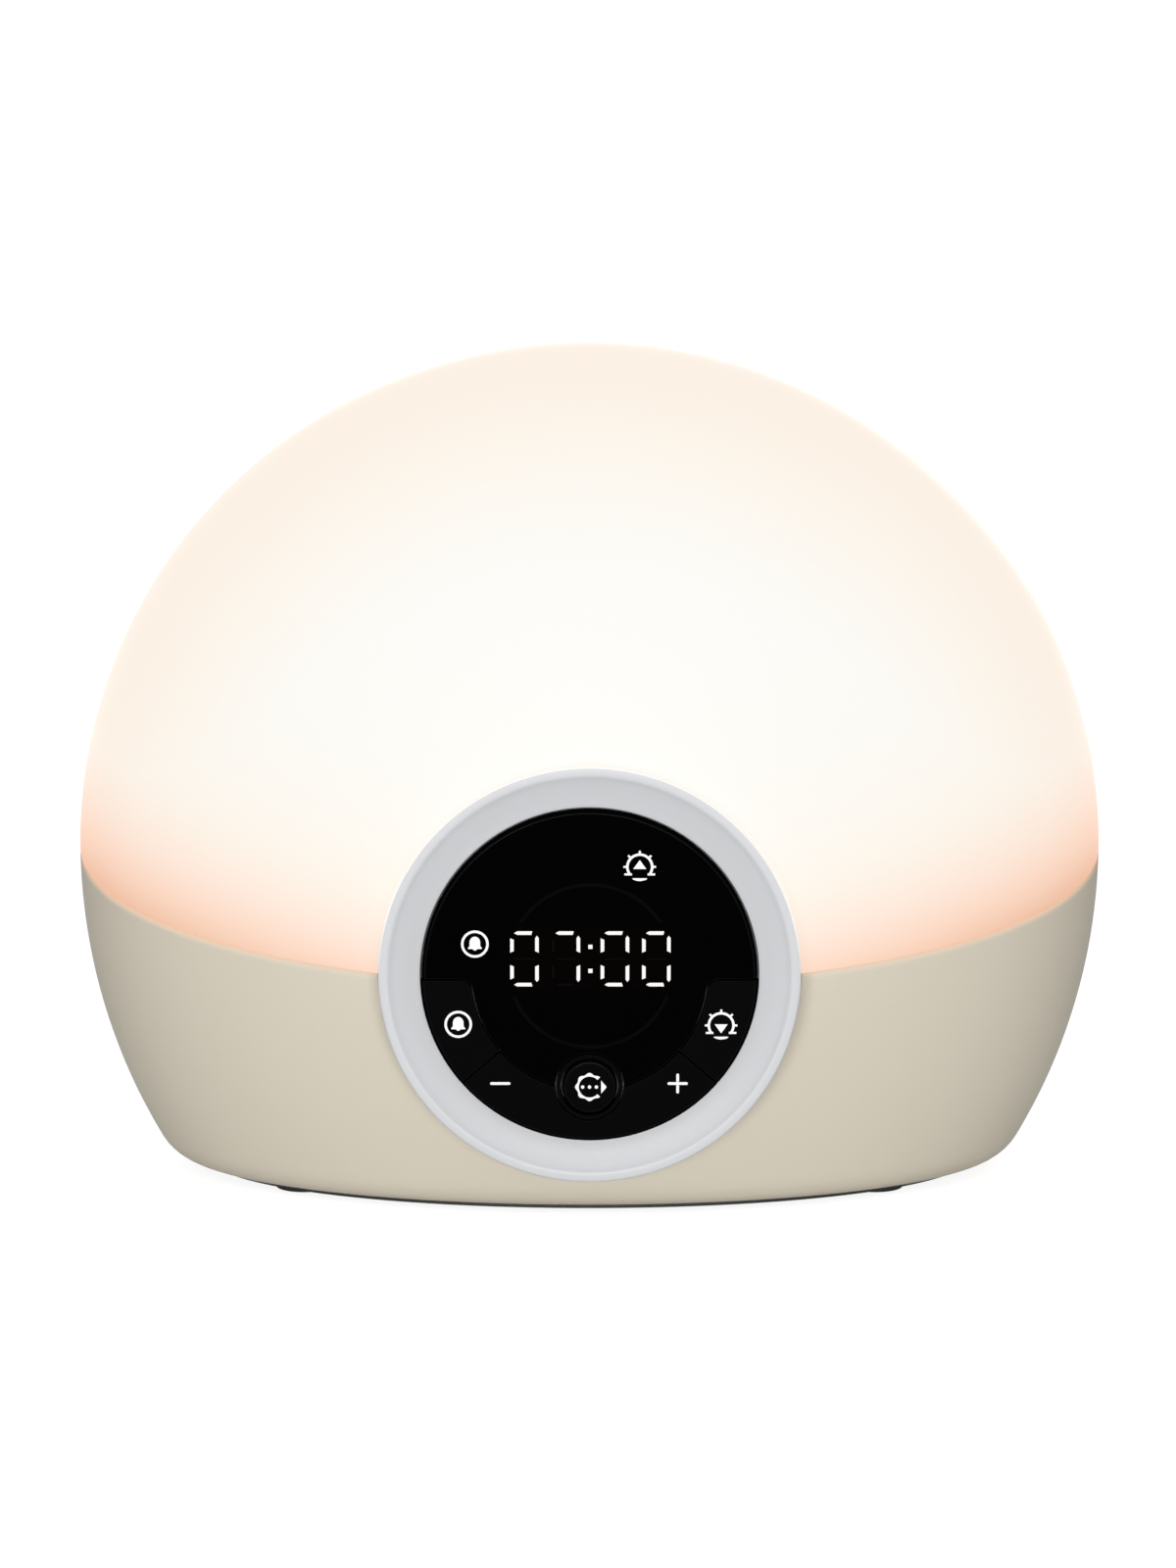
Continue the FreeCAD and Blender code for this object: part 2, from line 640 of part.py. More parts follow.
# keys: parts of the ring outside the lens, parted by the split lines, with their plungers
def key_blank():
    front = size.panel_front
    back = front + size.key_thickness
    return pod_rod(size.key_radius, front, back).cut(pod_rod(size.key_arc + half_gap, front, back))


def plunger(across, rise):
    return pod_rod(size.plunger_radius, size.panel_front + 1, size.plunger_end, across, rise)


def make_side_key():
    front = size.panel_front
    back = front + size.key_thickness
    turn = math.radians(size.split_angle)
    top = -size.key_top - half_gap
    crossing = (top - half_gap / math.cos(turn)) / math.tan(turn)
    run = far * math.cos(turn)
    wedge = [(crossing, top), (crossing - far, top), (crossing - run, top - far * math.sin(turn))]
    key = key_blank().common(prism(wedge, front, back))
    inner = size.key_arc + half_gap
    key = key.makeFillet(size.key_corner - half_gap, edges_at(key, -math.sqrt(inner ** 2 - top ** 2), top))
    key = key.makeChamfer(size.rim_chamfer, rim_edges(key, size.key_radius))
    rods = [plunger(-size.side_key_across / 2, -size.side_key_drop)]
    rods.append(pod_rod(size.peg_radius, front + 1, size.plunger_end, -size.peg_across / 2, -size.peg_drop))
    return key.fuse(rods)


keep("alarm_key", feature("left_key", in_pod(make_side_key())))
keep("light_key", feature("right_key", in_pod(make_side_key().mirror(vector(0, 0, 0), vector(1, 0, 0)))))


def make_rocker():
    front = size.panel_front
    back = front + size.key_thickness
    turn = math.radians(size.split_angle)
    apex = -half_gap / math.cos(turn)
    run = far * math.cos(turn)
    fall = apex - far * math.sin(turn)
    wedge = [(0, apex), (-run, fall), (-run, -far), (run, -far), (run, fall)]
    key = key_blank().common(prism(wedge, front, back))
    key = key.cut(pod_rod(collar_room, front, back, 0, -size.mode_drop))
    key = key.makeChamfer(size.rim_chamfer, rim_edges(key, size.key_radius))
    rods = [plunger(side * size.lobe_across / 2, -size.lobe_drop) for side in (-1, 1)]
    low = -size.lug_top - size.lug_height
    start = back - size.overlap
    rods.append(Part.makeBox(size.lug_width, size.pin_depth - start, size.lug_height,
                             vector(-size.lug_width / 2, start, low)))
    centre = vector(0, size.pin_depth, low)
    rods.append(Part.makeCylinder(size.lug_width / 2, size.lug_height, centre))
    key = key.fuse(rods)
    return key.cut(Part.makeCylinder(size.pin_radius + size.pin_play, far, centre - vector(0, 0, 1)))


keep("minus_plus_rocker", feature("rocker", in_pod(make_rocker())))
keep("rocker_pin", rod("pod", ("0", "pin_depth", "-lug_top - lug_height - ear_gap - ear_height"), "Z",
                       "pin_radius", "lug_height + 2 * ear_gap + 2 * ear_height"))

mode_front = "panel_front - mode_proud"
keep("mode_key", turned("pod", ("0", "0", "-mode_drop"), [
    ("0", mode_front), ("mode_radius - mode_rounding", mode_front),
    ("mode_radius", f"{mode_front} + mode_rounding"), ("mode_radius", "panel_front + key_thickness"),
    ("plunger_radius", "panel_front + key_thickness"), ("plunger_radius", "plunger_end"),
    ("0", "plunger_end"),
]))
keep("mode_collar", turned("pod", ("0", "0", "-mode_drop"), [
    ("collar_inner", "collar_front"), ("collar_radius", "collar_front"), ("collar_radius", "frame_front"),
    ("collar_inner", "frame_front"),
]))

# switches on the control board, and the stems that travel with the keys
stem_places = {
    "alarm_switch_stem": [("-side_key_across / 2", "-side_key_drop")],
    "light_switch_stem": [("side_key_across / 2", "-side_key_drop")],
    "mode_switch_stem": [("0", "-mode_drop")],
    "rocker_switch_stems": [("-lobe_across / 2", "-lobe_drop"), ("lobe_across / 2", "-lobe_drop")],
}
for label, places in stem_places.items():
    stems = [rod("pod", (x, "plunger_end", z), "Y", "stem_radius", "stem_depth") for x, z in places]
    keep(label, stems[0] if len(stems) == 1 else group(stems))
switch_places = [spot for places in stem_places.values() for spot in places]
keep("key_switches", group([
    cut(block("pod", (x, "board_front - switch_height / 2", z),
              ("switch_side", "switch_height", "switch_side")),
        [rod("pod", (x, "board_front - switch_height - overlap", z), "Y", "stem_radius + stem_play",
             "stem_well + overlap")])
    for x, z in switch_places
]))

# key frame: a disc with a raised pad under the lens, posts for the board and ears for the rocker's pin
frame_back = "frame_front + frame_thickness"
pad_front = "panel_front + lens_thickness"
pad_height = "frame_front - panel_front - lens_thickness + overlap"
disc = rod("pod", ("0", "frame_front", "0"), "Y", "frame_radius", "frame_thickness")
half_disc = doc.addObject("Part::Common", "half_disc")
half_disc.Base = rod("pod", ("0", pad_front, "0"), "Y", "lens_radius - pad_play", pad_height)
half_disc.Tool = block("pod", ("0", "0", "body_height / 2 + pad_play"),
                       ("body_width", "body_depth", "body_height"))
pad = rod("pod", ("0", pad_front, "0"), "Y", "key_arc - pad_play", pad_height)
pad = cut(join([pad, half_disc]), [
    rod("pod", ("0", "0", "-mode_drop"), "Y", "collar_radius + pad_play", "frame_front"),
])
board_posts = [(f"{side} * post_across_top / 2", "post_rise") for side in (-1, 1)]
board_posts += [(f"{side} * post_across_low / 2", "-post_drop") for side in (-1, 1)]
posts = [rod("pod", (x, f"{frame_back} - overlap", z), "Y", "board_post_radius",
             f"board_front - ({frame_back}) + overlap") for x, z in board_posts]
ear_length = f"pin_depth + ear_reach - ({frame_back}) + overlap"
ear_middle = f"{frame_back} - overlap + ({ear_length}) / 2"
ears = [
    block("pod", ("0", ear_middle, rise), ("ear_width", ear_length, "ear_height"))
    for rise in ("-lug_top + ear_gap + ear_height / 2", "-lug_top - lug_height - ear_gap - ear_height / 2")
]
frame_holes = [rod("pod", (x, "0", z), "Y", "plunger_radius + plunger_play", frame_back)
               for x, z in switch_places]
frame_holes += [rod("pod", (f"{side} * peg_across / 2", "0", "-peg_drop"), "Y", "peg_radius + plunger_play",
                    "board_front") for side in (-1, 1)]
frame_holes += [rod("pod", (x, "frame_front + pilot_skin", z), "Y", "small_shank + thread_play",
                    "board_front") for x, z in board_posts]
frame_holes.append(block("pod", ("0", "0", "digit_middle"),
                         ("module_width + 2 * module_play", "body_depth", "module_height + 2 * module_play")))
frame_holes.append(block("pod", ("0", "0", "-lug_top - lug_height / 2"),
                         ("lug_width + 2 * ear_gap", "2 * (pin_depth + ear_reach)",
                          "lug_height + 2 * ear_gap")))
frame_holes.append(rod("pod", ("0", "pin_depth", "-ring_radius"), "Z", "pin_radius + pin_grip",
                       "ring_radius"))
keep("key_frame", cut(join([disc, pad] + posts + ears), frame_holes))

# display module, control board and what stands on it
module_front = "panel_front + lens_thickness + module_play"
keep("led_display_module", block("pod", ("0", f"({module_front} + board_front) / 2", "digit_middle"),
                                 ("module_width", f"board_front - ({module_front})", "module_height")))
board_back = "board_front + board_thickness"
board = turned("pod", ("0", "0", "0"), [
    ("0", "board_front"), ("board_radius", "board_front"), ("board_radius", board_back), ("0", board_back),
])
keep("control_board", cut(board, [
    rod("pod", (x, "0", z), "Y", "small_shank + hole_play", "body_depth") for x, z in board_posts
]))
keep("control_board_parts", group([
    block("pod", ("chip_across", f"{board_back} + chip_height / 2", "chip_rise"),
          ("chip_side", "chip_height", "chip_side")),
    block("pod", ("driver_across", f"{board_back} + driver_height / 2", "driver_rise"),
          ("driver_width", "driver_height", "driver_length")),
    block("pod", ("driver_across", f"{board_back} + timer_height / 2", "timer_rise"),
          ("timer_side", "timer_height", "timer_side")),
    block("pod", ("0", f"{board_back} + plug_height / 2", "-cover_hole_drop"),
          ("plug_width", "plug_height", "plug_length")),
]))
keep("control_board_screws", group([
    screw("pod", (x, board_back, z), "Y", 1, "small", "small_grip") for x, z in board_posts
]))

# lamp tray: an oval dish parallel to the seam, with a notch round the pod
tray_across = size.body_width / 2 - size.housing_wall - size.tray_play
tray_along = seam_reach(size.housing_wall) - size.tray_play


def pod_notch(play):
    return in_pod(pod_rod(size.cover_radius + play, -far, size.notch_depth))


def make_tray():
    low = -size.tray_drop
    tray = oval_prism(tray_across, tray_along, low, size.tray_rise)
    tray = tray.cut(oval_prism(tray_across - size.tray_rim, tray_along - size.tray_rim,
                               low + size.tray_floor, size.tray_rise + 1))
    posts = []
    for side in (-1, 1):
        for end in (-1, 1):
            foot = vector(side * size.deck_post_across / 2, end * size.deck_post_apart / 2,
                          low + size.tray_floor - size.overlap)
            posts.append(Part.makeCylinder(size.deck_post_radius, size.spreader_rise - foot.z, foot))
    tray = tray.fuse(posts)
    holes = [Part.makeCylinder(size.large_shank + size.hole_play, far,
                               vector(across, along - size.pod_proud / 2, low - 1))
             for across, along in column_places]
    for post in posts:
        foot = vector(post.BoundBox.Center.x, post.BoundBox.Center.y, low + size.tray_pilot_skin)
        holes.append(Part.makeCylinder(size.small_shank + size.thread_play, far, foot))
    wire_foot = vector(size.lamp_wire_across, size.lamp_wire_back, low - 1)
    holes.append(Part.makeCylinder(size.wire_hole, far, wire_foot))
    tray = tray.cut(holes)
    tray.Placement = deck_place
    return tray.cut(pod_notch(size.tray_notch_play))


keep("reflector_tray", feature("tray", make_tray()))
keep("tray_screws", group([
    screw("deck", (x, y, "tray_floor - tray_drop"), "Z", 1, "large", "large_grip")
    for x, y in four("column_across", "column_apart")
]))

# lamp board on its heat spreader, with rings of lamps on top
deck_posts = four("deck_post_across", "deck_post_apart")
lamp_front = "spreader_rise + spreader_thickness"
board_top = f"{lamp_front} + lamp_board_thickness"
spreader_holes = [rod("deck", (x, y, "0"), "Z", "small_shank + hole_play", "body_height")
                  for x, y in deck_posts]
wire_hole = rod("deck", ("lamp_wire_across", "lamp_wire_back", "0"), "Z", "wire_hole", "body_height")
spreader = oval("deck", "spreader_rise", "lamp_board_width", "lamp_board_depth", "spreader_thickness")
keep("heat_spreader", cut(spreader, spreader_holes + [wire_hole]))
lamp_plate = oval("deck", lamp_front, "lamp_board_width", "lamp_board_depth", "lamp_board_thickness")
keep("lamp_board", cut(lamp_plate, [
    rod("deck", (x, y, "0"), "Z", "small_shank + hole_play", "body_height") for x, y in deck_posts
]))
keep("lamp_board_screws", group([
    screw("deck", (x, y, board_top), "Z", 1, "small", f"small_grip / 2 + {board_top} - spreader_rise")
    for x, y in deck_posts
]))


def lamp_ring(kind, count, shift):
    lamps = []
    for turn in range(count):
        angle = (turn + shift) * 360 / count
        middle = (f"{kind}_lamp_width * cos({angle})", f"{kind}_lamp_depth * sin({angle})",
                  f"{board_top} + lamp_height / 2")
        lamps.append(block("deck", middle, ("lamp_length", "lamp_depth", "lamp_height")))
    return lamps


keep("white_lamps", group(lamp_ring("outer", 16, 0.5) + lamp_ring("inner", 8, 0.5)))
keep("amber_lamps", group(lamp_ring("amber", 12, 0.5)))

# main board over the hatch, with its parts and the sounder
board_low = f"{base_top} + main_rise"
main_top = f"{board_low} + board_thickness"
main = padded("world", ("0", body_back, board_low), corners("main_width", "main_depth"), "board_thickness")
keep("main_board", cut(main, [
    rod("world", (x, y, "0"), "Z", "small_shank + hole_play", "body_height") for x, y in main_posts
]))
keep("main_board_screws", group([
    screw("world", (x, y, main_top), "Z", 1, "small", "small_grip + overlap") for x, y in main_posts
]))
connector_rise = f"{main_top} + connector_height / 2"
keep("main_board_parts", group([
    rod("world", ("tall_can_across", f"{body_back} + can_back", main_top), "Z", "tall_can_radius",
        "tall_can_height"),
    rod("world", ("short_can_across", f"{body_back} + can_back", main_top), "Z", "short_can_radius",
        "short_can_height"),
    block("world", ("coil_across", f"{body_back} - coil_ahead", f"{main_top} + coil_height / 2"),
          ("coil_side", "coil_side", "coil_height")),
    block("world", ("power_chip_across", f"{body_back} - power_chip_ahead",
                    f"{main_top} + power_chip_height / 2"),
          ("power_chip_side", "power_chip_side", "power_chip_height")),
    block("world", ("display_plug_across", f"{body_back} - display_plug_ahead", connector_rise),
          ("connector_short", "connector_long", "connector_height")),
    block("world", ("lamp_wire_across", f"{body_back} + lamp_plug_back", connector_rise),
          ("connector_long", "connector_short", "connector_height")),
    block("world", ("0", f"{body_back} + power_plug_back", connector_rise),
          ("connector_long", "connector_short", "connector_height")),
]))
keep("sounder", rod("world", ("sounder_across", f"{body_back} - sounder_ahead", main_top), "Z",
                    "sounder_radius", "sounder_height"))


# power jack behind the floor of its recess, with a flange that two screws hold
def make_jack():
    face = inlet_floor - size.inlet_floor_thickness
    back = vector(0, 1, 0)
    centre = vector(0, 0, size.inlet_height)
    half = vector(size.jack_width / 2, 0, size.jack_height / 2)
    case = Part.makeBox(size.jack_width, size.jack_length, size.jack_height,
                        centre - half + back * (face - size.jack_length))
    half = vector(size.flange_width / 2, 0, size.flange_height / 2)
    flange = Part.makeBox(size.flange_width, size.flange_thickness, size.flange_height,
                          centre - half + back * (face - size.flange_thickness))
    nose = Part.makeCylinder(size.jack_nose_radius, size.inlet_floor_thickness + 1,
                             centre + back * (face - 1), back)
    bore_end = centre + back * (inlet_floor - size.jack_bore_depth)
    bore = Part.makeCylinder(size.jack_bore, size.body_depth, bore_end, back)
    holes = [
        Part.makeCylinder(size.small_shank + size.hole_play, size.body_depth,
                          centre + vector(side * size.jack_screw_across / 2, 0, 0), back)
        for side in (-1, 1)
    ]
    pin = Part.makeCylinder(size.jack_pin, size.jack_bore_depth - size.overlap,
                            bore_end - back * size.overlap, back)
    return case.fuse([flange, nose]).cut([bore] + holes).fuse(pin)


keep("power_jack", feature("jack", make_jack()))
jack_inlet = "(pod_proud / 2 + body_width / 2 * sqrt(1 - ((widest_height - inlet_height) / lower_reach)^2)" \
    " * body_depth / body_width - inlet_depth)"
flange_face = f"{jack_inlet} - inlet_floor_thickness - flange_thickness"
keep("jack_screws", group([
    screw("world", (f"{side} * jack_screw_across / 2", flange_face, "inlet_height"), "Y", -1, "small",
          "small_grip")
    for side in (-1, 1)
]))


# wires: straight runs joined by tangent arcs, which take a share of each run
bend_share = 0.45


def wire_line(points):
    edges = []
    start = points[0]
    for before, corner, after in zip(points, points[1:], points[2:]):
        run_in = (corner - before).normalize()
        run_out = (after - corner).normalize()
        half_turn = run_in.getAngle(run_out) / 2
        tangent = bend_share * min((corner - before).Length, (after - corner).Length)
        radius = tangent / math.tan(half_turn)
        first = corner - run_in * tangent
        last = corner + run_out * tangent
        bisector = (run_out - run_in).normalize()
        centre = corner + bisector * (radius / math.cos(half_turn))
        middle = centre - bisector * radius
        edges.append(Part.makeLine(start, first))
        edges.append(Part.Arc(first, middle, last).toShape())
        start = last
    edges.append(Part.makeLine(start, points[-1]))
    return Part.Wire(edges)


def wire_pair(points):
    wires = []
    for side in (-1, 1):
        shifted = [point + vector(side * size.wire_pitch / 2, 0, 0) for point in points]
        line = wire_line(shifted)
        ring = Part.Wire(Part.makeCircle(size.wire_radius, shifted[0], shifted[1] - shifted[0]))
        wires.append(line.makePipeShell([ring], True, False))
    return Part.makeCompound(wires)


def deck_point(across, along, rise):
    return deck_place.multVec(vector(across, along, rise))


connector_top = base_top_height + size.main_rise + size.board_thickness + size.connector_height
middle_back = size.pod_proud / 2
pod_back = front_plane + size.board_front + size.board_thickness + size.plug_height
pod_wire = size.pod_height - size.cover_hole_drop
plug_along = middle_back - size.display_plug_ahead
keep("display_wires", feature("display_wires", wire_pair([
    vector(0, pod_back, pod_wire),
    vector(0, pod_back + size.display_run, pod_wire),
    vector(size.display_bend_across, pod_back + size.display_bend_run, pod_wire - size.display_bend_drop),
    vector(size.display_turn_across, middle_back - size.display_turn_ahead,
           connector_top + size.display_turn_rise),
    vector(size.display_plug_across, plug_along, connector_top + size.display_end_rise),
    vector(size.display_plug_across, plug_along, connector_top),
])))
across = size.lamp_wire_across
along = middle_back + size.lamp_plug_back
keep("lamp_wires", feature("lamp_wires", wire_pair([
    vector(across, along, connector_top),
    vector(across, along, connector_top + size.lamp_run),
    deck_point(across, size.lamp_wire_back, -size.tray_drop - size.lamp_bend_drop),
    deck_point(across, size.lamp_wire_back, size.spreader_rise + size.spreader_thickness),
])))
jack_back = inlet_floor - size.inlet_floor_thickness - size.jack_length
along = middle_back + size.power_plug_back
keep("power_wires", feature("power_wires", wire_pair([
    vector(0, jack_back, size.inlet_height),
    vector(0, jack_back - size.power_run, size.inlet_height),
    vector(0, along, connector_top + size.power_end_rise),
    vector(0, along, connector_top),
])))

doc.recompute()
for item in doc.Objects:
    if {"Invalid", "Error"} & set(item.State):
        raise RuntimeError(f"{item.Name} ({item.Label}) failed: {item.State}")
for label, item in nodes.items():
    if item.Shape.isNull() or not item.Shape.isValid() or item.Shape.Volume <= 0:
        raise RuntimeError(f"{label} has no valid shape")

os.makedirs("parts", exist_ok=True)
for label, item in nodes.items():
    item.Shape.exportStep(f"parts/{label}.step")
    box = item.Shape.BoundBox
    print(f"{label}: {len(item.Shape.Solids)} solids, {item.Shape.Volume:.1f} mm3, "
          f"x {box.XMin:.1f} {box.XMax:.1f} y {box.YMin:.1f} {box.YMax:.1f} z {box.ZMin:.1f} {box.ZMax:.1f}")
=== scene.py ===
import math

import bmesh
import bpy
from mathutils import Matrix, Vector


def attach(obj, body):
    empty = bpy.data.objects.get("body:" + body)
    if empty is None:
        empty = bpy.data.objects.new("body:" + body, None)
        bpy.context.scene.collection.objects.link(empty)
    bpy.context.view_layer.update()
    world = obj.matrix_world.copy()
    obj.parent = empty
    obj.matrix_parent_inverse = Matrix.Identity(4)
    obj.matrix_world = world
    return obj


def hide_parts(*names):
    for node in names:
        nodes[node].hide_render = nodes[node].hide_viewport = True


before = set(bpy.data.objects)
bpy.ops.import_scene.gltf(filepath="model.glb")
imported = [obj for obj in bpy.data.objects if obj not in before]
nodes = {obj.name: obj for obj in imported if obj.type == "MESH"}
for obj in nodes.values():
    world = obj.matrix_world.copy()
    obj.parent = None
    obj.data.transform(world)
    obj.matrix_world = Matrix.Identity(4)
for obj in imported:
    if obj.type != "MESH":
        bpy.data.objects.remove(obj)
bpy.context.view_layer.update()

mm = 0.001
scene = bpy.context.scene

# The clock's body: an upright ellipsoid, flatter below its widest height, parted by a slanted seam.
body = {
    "centreY": 2.0, "halfWidth": 105.0, "halfDepth": 60.0, "widest": 66.7, "upper": 104.2,
    "lower": 113.1, "seamHeight": 67.0, "seamSlope": math.radians(17.1), "seamGap": 0.3, "turns": 256,
}
# The round display pod: its front plane, its middle's height and the hole that it goes through.
pod = {"front": -62.0, "height": 51.9, "hole": 38.8, "holeStart": -10, "holeEnd": 46}


# a colour given in the usual levels of 0 to 255
def linear(*levels):
    shares = [level / 255 for level in levels]
    return (*[share / 12.92 if share <= 0.04045 else ((share + 0.055) / 1.055) ** 2.4 for share in shares],
            1.0)


def shade(colour, factor):
    return (*[min(1.0, value * factor) for value in colour[:3]], 1.0)


class Nodes:
    # short ways to add nodes to a tree: an input takes a number, a socket to link or a list of sockets
    def __init__(self, tree):
        self.tree = tree

    def put(self, socket, value):
        if hasattr(value, "is_output"):
            self.tree.links.new(value, socket)
        else:
            socket.default_value = value

    def add(self, kind, inputs, output=0, **settings):
        node = self.tree.nodes.new(kind)
        for name, value in settings.items():
            setattr(node, name, value)
        for label, values in inputs.items():
            for value in values if isinstance(values, list) else [values]:
                self.put(node.inputs[label], value)
        return node.outputs[output]

    def math(self, kind, *values, clamp=False):
        return self.add("ShaderNodeMath", dict(enumerate(values)), operation=kind, use_clamp=clamp)

    def product(self, first, *more):
        for value in more:
            first = self.math("MULTIPLY", first, value)
        return first

    def fade(self, value, start, end, low=0.0, high=1.0, kind="SMOOTHSTEP"):
        inputs = {"Value": value, "From Min": start, "From Max": end, "To Min": low, "To Max": high}
        return self.add("ShaderNodeMapRange", inputs, "Result", interpolation_type=kind)

    def eyes(self):
        # one where a camera or a mirrored or clear surface looks, nothing where light only falls
        path = self.tree.nodes.new("ShaderNodeLightPath").outputs
        total = path["Is Camera Ray"]
        for label in ("Is Glossy Ray", "Is Transmission Ray"):
            total = self.math("MAXIMUM", total, path[label])
        return total


class Finish(Nodes):
    # a material with its shader and Object coordinates
    def __init__(self, name):
        self.material = bpy.data.materials.new(name)
        self.material.use_nodes = True
        super().__init__(self.material.node_tree)
        self.shader = self.tree.nodes["Principled BSDF"]
        self.place = self.tree.nodes.new("ShaderNodeTexCoord").outputs["Object"]

    def set(self, label, value):
        self.put(self.shader.inputs[label], value)

    def parts(self):
        return self.add("ShaderNodeSeparateXYZ", {0: self.place}).node.outputs

    def away(self, point, plane=(1, 1, 1)):
        # distance to a point, seen along the axes left in
        flat = self.add("ShaderNodeVectorMath", {0: self.place, 1: plane}, operation="MULTIPLY")
        spot = tuple(a * b for a, b in zip(point, plane))
        return self.add("ShaderNodeVectorMath", {0: flat, 1: spot}, "Value", operation="DISTANCE")

    def noise(self, size, detail=2.0):
        inputs = {"Vector": self.place, "Scale": 1 / (size * mm), "Detail": detail}
        return self.add("ShaderNodeTexNoise", inputs, "Fac")

    def mix(self, factor, first, second, blend="MIX"):
        inputs = {0: factor, 6: first, 7: second}
        return self.add("ShaderNodeMix", inputs, 2, data_type="RGBA", blend_type=blend)

    def ramp(self, factor, stops):
        node = self.tree.nodes.new("ShaderNodeValToRGB")
        band = node.color_ramp
        band.elements[0].position, band.elements[0].color = stops[0]
        band.elements[1].position, band.elements[1].color = stops[-1]
        for position, colour in stops[1:-1]:
            band.elements.new(position).color = colour
        self.put(node.inputs[0], factor)
        return node.outputs[0]

    def bump(self, height, depth, strength):
        inputs = {"Height": height, "Distance": depth * mm, "Strength": strength}
        self.set("Normal", self.add("ShaderNodeBump", inputs))

    def roughen(self, grain, low, high):
        self.set("Roughness", self.fade(grain, 0.3, 0.7, low, high, "LINEAR"))

    def shine(self, colour, strength):
        self.set("Emission Color", colour)
        self.set("Emission Strength", strength)


def plainFinish(name, look):
    # colour that drifts a little, roughness that follows the grain, and a fine grain in relief
    made = Finish(name)
    colour, drift = linear(*look["colour"]), look["drift"]
    patch = made.noise(look["patch"], 3.0)
    grain = made.noise(look["grain"], 2.0)
    made.set("Base Color", made.mix(patch, shade(colour, 1 - drift), shade(colour, 1 + drift)))
    rough, spread = look["rough"], look.get("spread", 0.06)
    made.roughen(grain, rough - spread, rough + spread)
    made.set("Metallic", look.get("metal", 0.0))
    made.set("Specular IOR Level", look.get("gloss", 0.5))
    made.bump(grain, look["depth"], look["relief"])
    return made


looks = {
    "silver": {"colour": (213, 214, 217), "drift": 0.012, "patch": 30, "grain": 0.35, "rough": 0.42,
               "spread": 0.05, "gloss": 0.4, "depth": 0.008, "relief": 0.3},
    "blackKey": {"colour": (5, 5, 6), "drift": 0.1, "patch": 9, "grain": 0.3, "rough": 0.3,
                 "spread": 0.04, "gloss": 0.008, "depth": 0.003, "relief": 0.15},
    # the bevels' lighter colour is a painted highlight, with a little more gloss than the keys
    "polishedEdge": {"colour": (12, 12, 13), "drift": 0.08, "patch": 4, "grain": 0.2, "rough": 0.25,
                     "spread": 0.05, "gloss": 0.022, "depth": 0.002, "relief": 0.2},
    "dullWall": {"colour": (4, 4, 4), "drift": 0.1, "patch": 4, "grain": 0.3, "rough": 0.8,
                 "spread": 0.05, "gloss": 0.0, "depth": 0.005, "relief": 0.3},
    "darkBase": {"colour": (26, 26, 25), "drift": 0.08, "patch": 22, "grain": 0.6, "rough": 0.6,
                 "spread": 0.08, "gloss": 0.35, "depth": 0.03, "relief": 0.6},
    "rubber": {"colour": (30, 30, 30), "drift": 0.12, "patch": 6, "grain": 0.4, "rough": 0.85,
               "spread": 0.06, "gloss": 0.2, "depth": 0.03, "relief": 0.7},
    "steel": {"colour": (176, 178, 180), "drift": 0.05, "patch": 3, "grain": 0.15, "rough": 0.3,
              "spread": 0.08, "metal": 1.0, "depth": 0.004, "relief": 0.4},
    "greyPlastic": {"colour": (96, 97, 99), "drift": 0.05, "patch": 14, "grain": 0.4, "rough": 0.55,
                    "depth": 0.02, "relief": 0.5},
    "whiteTray": {"colour": (226, 226, 222), "drift": 0.02, "patch": 25, "grain": 0.5, "rough": 0.5,
                  "depth": 0.01, "relief": 0.4},
    "aluminium": {"colour": (186, 188, 190), "drift": 0.04, "patch": 8, "grain": 0.25, "rough": 0.38,
                  "spread": 0.08, "metal": 1.0, "depth": 0.006, "relief": 0.4},
    "whiteBoard": {"colour": (220, 221, 214), "drift": 0.03, "patch": 10, "grain": 0.3, "rough": 0.45,
                   "depth": 0.006, "relief": 0.3},
    "blackParts": {"colour": (28, 28, 30), "drift": 0.1, "patch": 3, "grain": 0.2, "rough": 0.5,
                   "depth": 0.01, "relief": 0.5},
}
finishes = {name: plainFinish(name, look).material for name, look in looks.items() if name != "silver"}


# painted shade factors for the ring's lip and dish at top and bottom, and the painted glow of the dome on
# its outer wall
silverPaintedLight = {
    "lipTop": 0.865, "lipLow": 0.885, "dishTop": 0.85, "dishLow": 0.7, "blendStart": 34.0, "blendEnd": 38.6,
    "reach": 41.0, "wallStart": 41.05, "wallEnd": 41.4, "wallGlow": 0.5, "wallColour": linear(255, 248, 236),
    "glowLow": -4.0, "glowHigh": 16.0,
}


